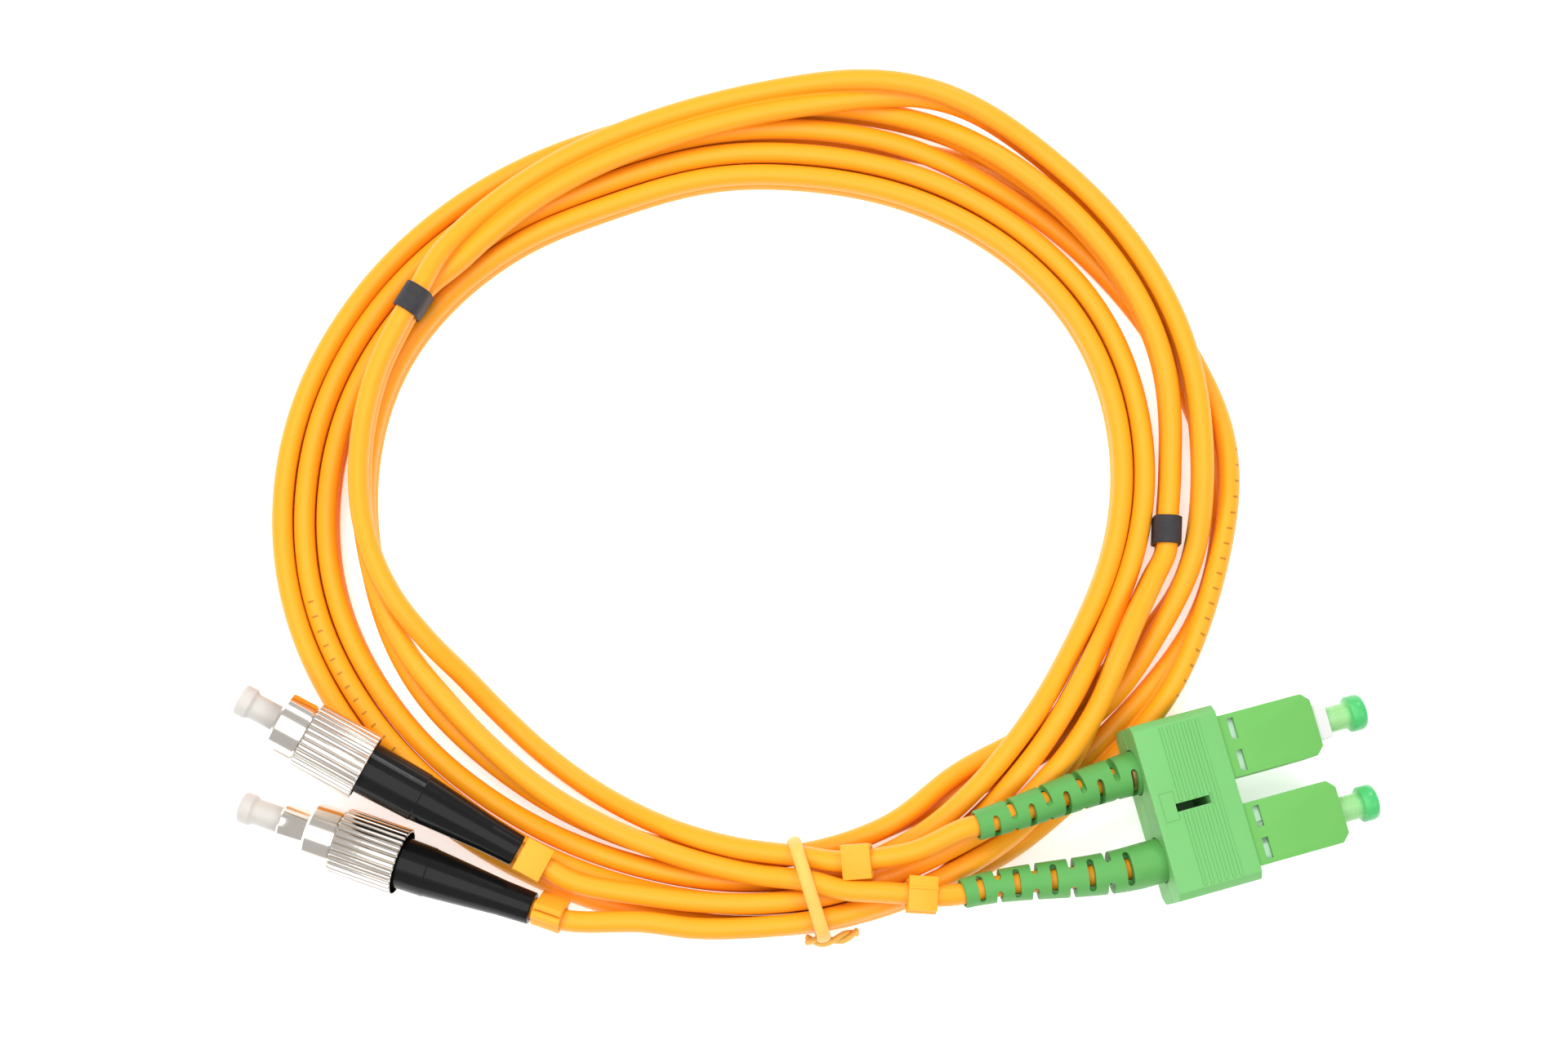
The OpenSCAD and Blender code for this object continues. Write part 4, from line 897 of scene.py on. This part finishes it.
def lathe_marks_group():
    """Fine rings left by turning, and faint rubbed clouds, on plated metal."""
    group = new_group("lathe_marks", ("Along", "Ring Scale"))
    nodes, links = group.nodes, group.links
    given, out = nodes.new("NodeGroupInput"), nodes.new("NodeGroupOutput")
    ring = nodes.new("ShaderNodeTexNoise")
    ring.noise_dimensions = "1D"
    ring.inputs["Detail"].default_value = 4
    links.new(given.outputs["Along"], ring.inputs["W"])
    links.new(given.outputs["Ring Scale"], ring.inputs["Scale"])
    place = nodes.new("ShaderNodeTexCoord")
    cloud = nodes.new("ShaderNodeTexNoise")
    cloud.inputs["Scale"].default_value = 420
    cloud.inputs["Detail"].default_value = 4
    links.new(place.outputs["Object"], cloud.inputs["Vector"])
    both = nodes.new("ShaderNodeMath")
    both.operation = "MULTIPLY"
    links.new(ring.outputs["Fac"], both.inputs[0])
    links.new(cloud.outputs["Fac"], both.inputs[1])
    vary(group, given, out, cloud.outputs["Fac"], both.outputs[0], ring.outputs["Fac"])
    return group


lathe_marks = lathe_marks_group()


def metal(name, colour, second, roughness, spread=0.12, rings=2.5, bump=0.06):
    """A plated or bare metal with its turning marks."""
    made, body = coated(name, lathe_marks, colour, second, roughness, spread, bump, 0.00005)
    nodes, links = made.node_tree.nodes, made.node_tree.links
    nodes["Principled BSDF"].inputs["Metallic"].default_value = 1
    along = nodes.new("ShaderNodeAttribute")
    along.attribute_name = "along"
    links.new(along.outputs["Fac"], body.inputs["Along"])
    body.inputs["Ring Scale"].default_value = rings
    return made


def mark_along(piece):
    """Keeps each point's place along the piece's own axis, which the turning marks follow."""
    marks = piece.data.attributes.new("along", "FLOAT", "POINT")
    marks.data.foreach_set("value", [v.co.x for v in piece.data.vertices])


nickel = metal("nickel_plate", (0.82, 0.765, 0.7), (0.74, 0.685, 0.62), 0.12)
bright_steel = metal("bright_steel", (0.62, 0.62, 0.63), (0.5, 0.5, 0.51), 0.22)
bore_outline = []
for i in range(6):
    x = nut_length - 0.45 - i * thread_pitch
    bore_outline += [(x, thread_radius), (x - thread_pitch / 2, thread_radius + thread_depth)]
nut_outline = [
    (0, 4.52), (0, 4.76), (0.14, knurl_radius), (0.5, knurl_radius), (9.1, knurl_radius),
    (9.35, knurl_radius - 0.08), (9.55, 4.42), (9.58, 4.02), (9.8, 4.02),
    (9.82, nut_front_radius),
    (13.5, nut_front_radius), (13.9, 3.9), (nut_length, thread_radius + 0.05), *bore_outline,
    (8.2, thread_radius), (8.2, 3.05), (7, 3.05), (7, 4.52),
]
# press the valleys between the ridges into the knurled length
valley = (1, 0.36, 0.08, 0, 0, 0, 0.08, 0.36)
sides = ridge_count * len(valley)
nut = lathe("nut_pattern", nut_outline, sides, closed=True)
for v in nut.data.vertices:
    r = math.hypot(v.co.y, v.co.z)
    if v.co.x < knurl_end and r > knurl_root:
        step = round(math.atan2(v.co.z, v.co.y) / (2 * math.pi) * sides) % len(valley)
        press = 1 - ridge_depth * valley[step] / r
        v.co.y *= press
        v.co.z *= press
mark_along(nut)
smooth(nut, 24)
washer_outline = (
    (6.35, 3.08), (6.35, 4.4), (6.42, 4.45), (6.88, 4.45), (6.95, 4.4), (6.95, 3.08),
)
washer = lathe("washer_pattern", washer_outline, 64, closed=True)
mark_along(washer)
soften(washer, 0.05)
for plug in "ab":
    nut_place = fc_place[plug] @ Matrix.Translation((nut_rear[plug], 0, 0))
    settle(
        nut, "fc_%s_knurled_nut" % plug, nut_place, nickel,
        "fc_%s_coupling_nut" % plug,
    )
    settle(
        washer, "fc_%s_steel_washer" % plug, nut_place, bright_steel,
        "fc_%s_nut_washer" % plug,
    )
bpy.data.objects.remove(nut)
bpy.data.objects.remove(washer)

# ---- FC front bodies ----
# The plated barrel that the nut turns on. It has a collar that stops the nut, and in front of it
# the nose with a small raised key that sets the plug's turn in the socket.
body_outline = (
    (26.2, 2.45), (26.2, 2.9), (26.3, 3), (32.45, 3), (32.45, 3.42), (32.53, 3.5), (33.27, 3.5),
    (33.35, 3.42), (33.35, 2.72), (37.65, 2.72), (37.95, 2.44), (37.95, 1.96), (31.5, 1.96),
    (31.5, 2.1), (28.8, 2.1), (28.8, 2.45),
)
collar_front, nose_radius = 33.35, 2.72
key_width, key_length, key_rise, key_root = 2.0, 2.3, 0.28, 2.3
front = lathe("front_pattern", body_outline, 96, closed=True)
key = block(
    "key", (collar_front - 0.05, collar_front + key_length), about(0, key_width),
    (key_root, nose_radius + key_rise),
)
carve(front, key, operation="UNION")
soften(front, 0.06, limit=50)
mark_along(front)
fit_each(front, fc_place, "fc_%s_plated_body", nickel, "fc_%s_front_body")

# ---- Springs ----
# A steel wire coil behind each ferrule holder presses the ferrule forward. It is wound round a
# mandrel, with its last turns flat at both ends.
wire_radius, coil_radius, flat_turns, flat_rise, end_play = 0.175, 1.62, 1.2, 0.25, 0.5


def wound_spring(rear, front_end, turns):
    """Centres of the wire of a spring between two places along its axis, in millimetres."""
    per_turn, centres = 20, []
    flat = flat_turns / turns
    for i in range(turns * per_turn + 1):
        u = i / (turns * per_turn)
        travel = min(max((u - flat) / (1 - 2 * flat), 0), 1)
        lift = travel * (front_end - rear - 4 * wire_radius - end_play)
        lift += (min(u, flat) + max(u - 1 + flat, 0)) / flat * flat_rise
        a = 2 * math.pi * i / per_turn
        x = rear + wire_radius + lift
        centres.append(Vector((x, coil_radius * math.cos(a), coil_radius * math.sin(a))))
    return centres


def wire_skin(name, centres, radius, sides=8):
    """A closed round wire through the given points."""
    points, faces = [], []
    for i, here in enumerate(centres):
        ahead = (centres[min(i + 1, len(centres) - 1)] - centres[max(i - 1, 0)]).normalized()
        out = Vector((0, here.y, here.z)).normalized()
        side = ahead.cross(out).normalized()
        out = side.cross(ahead)
        for j in range(sides):
            a = 2 * math.pi * j / sides
            points.append(here + out * radius * math.cos(a) + side * radius * math.sin(a))
    for i in range(len(centres) - 1):
        for j in range(sides):
            a, b = i * sides + j, i * sides + (j + 1) % sides
            faces.append((a, a + sides, b + sides, b))
    last = (len(centres) - 1) * sides
    faces.append(tuple(range(sides)))
    faces.append(tuple(last + sides - 1 - j for j in range(sides)))
    piece = new_piece(name, points, faces)
    face_outwards(piece)
    smooth(piece, 60)
    return piece


def fit_springs(family, places, rear, front_end, turns):
    """Winds a spring between two places along the plug and fits one in each plug of a family."""
    spring = wire_skin(family + "_spring", wound_spring(rear, front_end, turns), wire_radius)
    mark_along(spring)
    for letter, place in places.items():
        plug = family + "_" + letter
        wound = settle(
            spring, plug + "_wound_spring", place, spring_steel, plug + "_spring"
        )
        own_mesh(wound)
    bpy.data.objects.remove(spring)


spring_steel = metal("spring_steel", (0.5, 0.5, 0.52), (0.4, 0.4, 0.42), 0.3)
fit_springs("fc", fc_place, 21.25, 29.75, 9)

# ---- FC dust caps ----
# A soft white polythene cap slides over the ferrule and keeps its end clean. It is a thin tube
# with a closed rounded flange to pull on.
cap_outline = (
    (42.3, 0), (42.3, 1.28), (34.25, 1.28), (34.15, 1.4), (34.15, 1.72), (34.28, 1.85),
    (41.6, 1.85), (41.9, 1.89), (42.15, 2.0), (42.3, 2.16), (42.45, 2.24), (42.6, 2.27),
    (43.8, 2.27), (44, 2.22), (44.15, 2.08), (44.22, 1.85), (44.2, 1.5), (44.1, 1.3), (44.05, 0),
)


def cap_plastic(name, colour, second, roughness, through, scatter):
    """Soft half-clear polythene that light passes into."""
    made = plastic(
        name, colour, second, roughness, spread=0.15, grain=900, cloud=160, bump=0.05
    )
    shader = made.node_tree.nodes["Principled BSDF"]
    shader.inputs["Transmission Weight"].default_value = through
    shader.inputs["Subsurface Weight"].default_value = scatter
    shader.inputs["Subsurface Scale"].default_value = 0.001
    shader.inputs["IOR"].default_value = 1.5
    return made


white_polythene = cap_plastic(
    "white_polythene", (0.68, 0.65, 0.605), (0.62, 0.59, 0.55), 0.28, 0.15, 0.2
)
fc_cap = lathe("fc_cap", cap_outline, 64)
smooth(fc_cap, 60)
fit_each(fc_cap, fc_place, "fc_%s_white_cap", white_polythene, "fc_%s_dust_cap")

# ---- SC bend-relief boots ----
# A green moulded rubber boot behind each SC plug, with staggered slots that let it bend evenly.
# It leaves the clip straight, and bends with its strand towards the tail.
sc_boot_length, sc_tail_radius, sc_base_radius, sc_base_length = 32.3, 2.1, 3.15, 7.3
cord_bore, crimp_bore, crimp_room, tail_chamfer = 1.68, 2.5, 25.2, 0.12
slot_width, slot_pitch, slot_count, first_slot, slot_floor = 0.95, 5.2, 5, 2.4, 0.7
slot_reach, notch_depth, cutter_top, notch_height = 0.62, 1.05, 5, 6.4
boot_tail = {"a": 4.25, "b": -0.05}
boot_roll = {"a": 42, "b": 0}
green_rubber = plastic(
    "green_rubber", (0.106, 0.365, 0.086), (0.09, 0.33, 0.073), 0.42,
    spread=0.15, grain=2400, cloud=240, bump=0.12,
)
taper_end = sc_boot_length - sc_base_length


def sc_boot_axis(side, s):
    """Centre of a boot at a place along its plug, and its way ahead."""
    ahead = sc_bend_point(side, s + 0.4) - sc_bend_point(side, s - 0.4)
    return sc_bend_point(side, s), ahead.normalized()


def taper(x):
    """Radius of the boot's cone, x millimetres in front of its tail."""
    return sc_tail_radius + (sc_base_radius - sc_tail_radius) * x / taper_end


def round_end(cutter, x, y, z, depth):
    """Rounds an end of a slot's cutter with an upright pin as wide as the slot."""
    bpy.ops.mesh.primitive_cylinder_add(
        vertices=20, radius=slot_width / 2, depth=depth, location=(x, y, z)
    )
    pin = bpy.context.object
    fix_place(pin)
    carve(cutter, pin, operation="UNION")


walls = [tail_chamfer + (taper_end - tail_chamfer) * i / 30 for i in range(31)]
skin = [(0, sc_tail_radius - tail_chamfer)] + [(x, taper(x)) for x in walls]
skin += [(28.6, sc_base_radius), (sc_boot_length, sc_base_radius), (sc_boot_length, crimp_bore)]
skin += [(crimp_room, crimp_bore)] + [(crimp_room - i, cord_bore) for i in range(25)]
skin += [(0.2, cord_bore), (0, cord_bore + 0.07)]
for side in "ab":
    boot = lathe("sc_boot_pattern", skin, 64, closed=True)
    cutters = []
    for i in range(slot_count):
        x = first_slot + i * slot_pitch
        reach = taper(x) * slot_reach
        for angle in (0, 180):
            slit = block("slit", about(x, slot_width), (-reach, reach), (slot_floor, cutter_top))
            for y in (-reach, reach):
                round_end(slit, x, y, (slot_floor + cutter_top) / 2, cutter_top - slot_floor)
            slit.data.transform(Matrix.Rotation(math.radians(angle), 4, "X"))
            cutters.append(slit)
        if i == slot_count - 1:
            continue
        # between two slots, a notch in either side
        x += slot_pitch / 2
        for way in (-1, 1):
            edge_y = way * (taper(x) - notch_depth)
            notch = block(
                "notch", about(x, slot_width), sorted((edge_y, way * 6)), about(0, notch_height)
            )
            round_end(notch, x, edge_y, 0, notch_height)
            cutters.append(notch)
    for cutter in cutters:
        cutter.data.transform(Matrix.Rotation(math.radians(boot_roll[side]), 4, "X"))
    carve(boot, *cutters)
    # bend the straight boot along its strand
    tail = boot_tail[side]
    for v in boot.data.vertices:
        here, ahead = sc_boot_axis(side, tail + v.co.x)
        across = Vector((0, 0, 1)).cross(ahead).normalized()
        v.co = here + across * v.co.y + ahead.cross(across) * v.co.z + coil
    soften(boot, 0.06, limit=50, shading=30)
    settle(boot, "sc_%s_slotted_boot" % side, Matrix.Scale(mm, 4), green_rubber,
           "sc_%s_boot" % side)
    bpy.data.objects.remove(boot)

# ---- Duplex clip ----
# Two green ABS halves snap together round the two housings and hold them at the pitch of a
# duplex socket. The top has fine grip ribs, a slot and a bare framed field.
clip_rear, clip_length, clip_width, clip_height = 28.4, 12.5, 25.2, 9.0
housing_rear, housing_front, housing_width, housing_height = 32.4, 54.95, 9.0, 7.4
clip_play, passage_radius = 0.05, 3.3
rib_count, rib_pitch, rib_width, rib_rise, rib_root, rib_end = 6, 1.08, 0.5, 0.15, 0.3, 11.3
first_rib, clip_slot, rib_gap = 4.1, (5.1, 1.15), (5.5, 1.6)
field_x, field_y, field_length, field_width = 1.05, -1.75, 2.2, 4.2
field_line, field_depth = 0.14, 0.07
green_abs = plastic(
    "green_abs", (0.165, 0.47, 0.145), (0.15, 0.44, 0.13), 0.4,
    spread=0.1, grain=1800, cloud=120, bump=0.05,
)
duplex_place = Matrix.Translation((duplex_start + coil) * mm) @ duplex_frame.to_4x4()
duplex_place = duplex_place @ Matrix.Scale(mm, 4)


def slice_off(piece, point, normal):
    """Planes away what lies beyond a flat cut, and closes the cut."""
    choose(piece)
    bpy.ops.object.mode_set(mode="EDIT")
    bpy.ops.mesh.select_all(action="SELECT")
    bpy.ops.mesh.bisect(plane_co=point, plane_no=normal, use_fill=True, clear_outer=True)
    bpy.ops.object.mode_set(mode="OBJECT")


half_height = clip_height / 2
for half_name, way in (("upper", 1), ("lower", -1)):
    shell = block(
        "shell", (clip_rear, clip_rear + clip_length), about(0, clip_width), (0.02, half_height)
    )
    for edge_way in (-1, 1):
        slice_off(shell, (0, edge_way * clip_width / 2, half_height - 1), (0, edge_way * 1, 1.15))
    soften(shell, 0.18, limit=20, shading=0)
    tools = []
    for across in sorted(sc_side.values()):
        tools.append(block(
            "pocket", (housing_rear - clip_play, clip_rear + clip_length + 1),
            about(across, housing_width + 2 * clip_play), (-1, housing_height / 2 + clip_play),
        ))
        tools.append(rod("passage", (clip_rear - 1, 33), passage_radius, 48, across))
    middle_x = clip_rear + clip_length / 2 - 0.6
    # the slot is open at the top and closed by a floor near the bottom
    slot_end = 10 if way > 0 else half_height - 0.6
    tools.append(
        block("slot", about(middle_x, clip_slot[0]), about(0, clip_slot[1]), (-1, slot_end))
    )
    carve(shell, *tools)
    if way > 0:
        # the frame of the bare field is sunk a hair into the top
        x, y = clip_rear + field_x, field_y
        groove = block(
            "groove", (x, x + field_length), (y, y + field_width), (half_height - field_depth, 6)
        )
        island = block(
            "island", (x + field_line, x + field_length - field_line),
            (y + field_line, y + field_width - field_line), (4, 7),
        )
        carve(groove, island)
        carve(shell, groove)
    ribs = []
    for i in range(rib_count):
        x = clip_rear + first_rib + i * rib_pitch
        rib = block(
            "rib", about(x, rib_width), (-rib_end, rib_end),
            (half_height - rib_root, half_height + rib_rise),
        )
        slice_off(rib, (x + rib_width / 2, 0, half_height), (1, 0, 2.4))
        ribs.append(rib)
    # the ribs stop at the slot and at its rim
    opening = block(
        "opening", about(middle_x, rib_gap[0]), about(0, rib_gap[1]), (half_height - 1, 10)
    )
    for rib in ribs:
        carve(rib, twin(opening))
    bpy.data.objects.remove(opening)
    choose(shell, *ribs)
    bpy.ops.object.join()
    smooth(shell, 22)
    if way < 0:
        shell.data.transform(Matrix.Rotation(math.pi, 4, "X"))
    settle(shell, "clip_%s_shell" % half_name, duplex_place, green_abs,
           "clip_%s_half" % half_name)
    bpy.data.objects.remove(shell)

# ---- SC housings ----
# The outer push-pull sleeve of each SC plug is moulded in green plastic. Two small windows in the
# top show the inner frame, and the front corners are cut back.
corner_cut, corner_slant, rear_bore_radius, mouth_length = 1.15, 1.9, 3.25, 3.2
room_width, room_height, mouth_width = 8, 6, 5.3
window, window_y, window_width = (42.3, 43.3), 2.3, 3
first_grip, grip_count, grip_pitch = 43.4, 5, 1.5
grip_width, grip_floor, grip_height = 0.55, 4.38, 4.6
green_housing = plastic(
    "green_housing", (0.145, 0.445, 0.098), (0.132, 0.42, 0.09), 0.36,
    spread=0.1, grain=1800, cloud=120, bump=0.04,
)
housing = block(
    "housing", (housing_rear, housing_front), about(0, housing_width), about(0, housing_height)
)
for way in (-1, 1):
    slice_off(
        housing, (housing_front, way * (housing_width / 2 - corner_cut), 0),
        (corner_cut, way * corner_slant, 0),
    )
soften(housing, 0.14, limit=20, shading=0)
hollow = [
    rod("rear_bore", (31, 37), rear_bore_radius),
    block(
        "frame_room", (31, housing_front - mouth_length), about(0, room_width),
        about(0, room_height),
    ),
    block(
        "mouth", (housing_front - 4, housing_front + 1), about(0, mouth_width),
        about(0, room_height),
    ),
]
for y in (-window_y, window_y):
    hollow.append(block("window", window, about(y, window_width), (2.7, 5)))
carve(housing, *hollow)
# grip hollows at the sides of the sleeve
for way in (-1, 1):
    for i in range(grip_count):
        x = first_grip + i * grip_pitch
        carve(housing, block(
            "grip", (x, x + grip_width), sorted((way * grip_floor, way * 6)),
            about(0, grip_height),
        ))
smooth(housing, 25)
side_place = {
    side: duplex_place @ Matrix.Translation((0, sc_side[side], 0)) for side in "ab"
}
fit_each(housing, side_place, "sc_%s_green_housing", green_housing,
         "sc_%s_outer_housing")

# ---- SC inner frames ----
# The white inner frame snaps into the socket and slides a little in the green sleeve. Its narrow
# nose guides the ferrule.
core_travel, core_length, core_width, core_height, core_edge = 2.1, 19, 7.8, 5.8, 0.15
nose_length, nose_width, guide_radius, room_radius, latch_width = 5.6, 5.1, 1.95, 2.3, 3.2
white_frame = plastic(
    "white_frame", (0.7, 0.7, 0.68), (0.66, 0.66, 0.64), 0.38,
    spread=0.1, grain=1600, cloud=120, bump=0.05,
)


def paint_light_along(material, light_tint, start, end):
    """Paints light into a material along the piece: from a colour of painted light to its own
    colour between two places along it.
    """
    nodes, links = material.node_tree.nodes, material.node_tree.links
    shader = nodes["Principled BSDF"]
    along = nodes.new("ShaderNodeAttribute")
    along.attribute_name = "along"
    change = nodes.new("ShaderNodeMapRange")
    change.inputs["From Min"].default_value = start
    change.inputs["From Max"].default_value = end
    light_mix = nodes.new("ShaderNodeMix")
    light_mix.data_type = "RGBA"
    light_mix.inputs[6].default_value = (*light_tint, 1)
    links.new(along.outputs["Fac"], change.inputs["Value"])
    links.new(change.outputs["Result"], light_mix.inputs[0])
    links.new(shader.inputs["Base Color"].links[0].from_socket, light_mix.inputs[7])
    links.new(light_mix.outputs[2], shader.inputs["Base Color"])


# painted shade and green light: behind the nose the white frame is painted a darker pale green,
# for the green light the sleeve throws on it and the shade inside the sleeve
paint_light_along(white_frame, (0.5, 0.72, 0.55), -6.2, -nose_length)
core = block(
    "core", (-core_length, 0.1 - nose_length), about(0, core_width), about(0, core_height),
    core_edge,
)
nose = block("nose", (-nose_length, 0), about(0, nose_width), about(0, core_height), core_edge)
carve(core, nose, operation="UNION")
carve(core, rod("guide", (-6.5, 1), guide_radius), rod("room", (-20, -6.5), room_radius))
for way in (-1, 1):
    carve(
        core, block("latch", (-13.5, -10.5), about(0, latch_width), sorted((way * 2.6, way * 4)))
    )
smooth(core, 25)
mark_along(core)
# core A stands pushed forward in its housing, core B pulled back
core_front = {"a": housing_front + core_travel, "b": housing_front}
core_place = {
    side: side_place[side] @ Matrix.Translation((core_front[side], 0, 0)) for side in "ab"
}
fit_each(core, core_place, "sc_%s_white_frame", white_frame, "sc_%s_inner_frame")

# ---- SC springs ----
# The same wound spring as in the FC plugs, a little shorter. It sits between the ferrule holder
# and the rear body of each plug.
fit_springs("sc", core_place, -16.15, -8.25, 8)

# ---- SC dust caps ----
# A soft half-clear green polythene cap over each ferrule, moulded in one piece: a thin tube with
# a thick rounded grip to pull it off by.
sc_cap_outline = (
    (2.6, 0), (2.6, 1.28), (-4.4, 1.28), (-4.5, 1.4), (-4.5, 1.72), (-4.38, 1.85), (3.2, 1.85),
    (3.6, 1.92), (3.75, 2.2), (3.82, 2.42), (3.95, 2.54), (5.3, 2.58), (5.75, 2.5), (6.03, 2.28),
    (6.2, 1.9), (6.3, 1.3), (6.35, 0.6), (6.35, 0),
)
green_polythene = cap_plastic(
    "green_polythene", (0.07, 0.56, 0.16), (0.1, 0.62, 0.19), 0.2, 0.2, 0.15
)
# painted light: the thin tube lets more light through than the thick grip, so a paler colour is
# painted on it
paint_light_along(green_polythene, (0.36, 0.72, 0.3), 2.9, 4.0)
sc_cap = lathe("sc_cap", sc_cap_outline, 64)
mark_along(sc_cap)
smooth(sc_cap, 60)
fit_each(sc_cap, core_place, "sc_%s_green_cap", green_polythene, "sc_%s_dust_cap")

# ---- Ferrules, holders, rear bodies, crimps and fibres ----
# The parts inside each plug keep the shape of the solids. They are white ceramic, nickel-plated
# and bare brass, aluminium crimps and the tight-buffered fibre.
bare_brass = metal("bare_brass", (0.75, 0.52, 0.22), (0.62, 0.42, 0.16), 0.28)
# painted shade: the crimps are a darker brown than bare brass, partly their own colour and partly
# shade painted for the dark at each plug's rear
crimp_metal = metal("crimp_metal", (0.5, 0.36, 0.16), (0.4, 0.28, 0.12), 0.36)
zirconia = plastic(
    "zirconia", (0.86, 0.85, 0.82), (0.82, 0.81, 0.78), 0.12,
    spread=0.08, grain=900, cloud=90, bump=0.01,
)
fibre_buffer = plastic(
    "fibre_buffer", (0.85, 0.74, 0.35), (0.8, 0.68, 0.3), 0.4,
    spread=0.1, grain=2600, cloud=200, bump=0.03,
)
for plug_name in ("fc_a", "fc_b", "sc_a", "sc_b"):
    for part, finish, slot in (
        ("ferrule", zirconia, "zirconia"),
        ("ferrule_holder", nickel, "nickel_brass"),
        ("rear_body", bare_brass, "brass"),
        ("crimp_sleeve", crimp_metal, "crimp_metal"),
        ("fibre", fibre_buffer, "fibre_buffer"),
    ):
        node = plug_name + "_" + part
        paint_all([frame["nodes"][node]], finish)
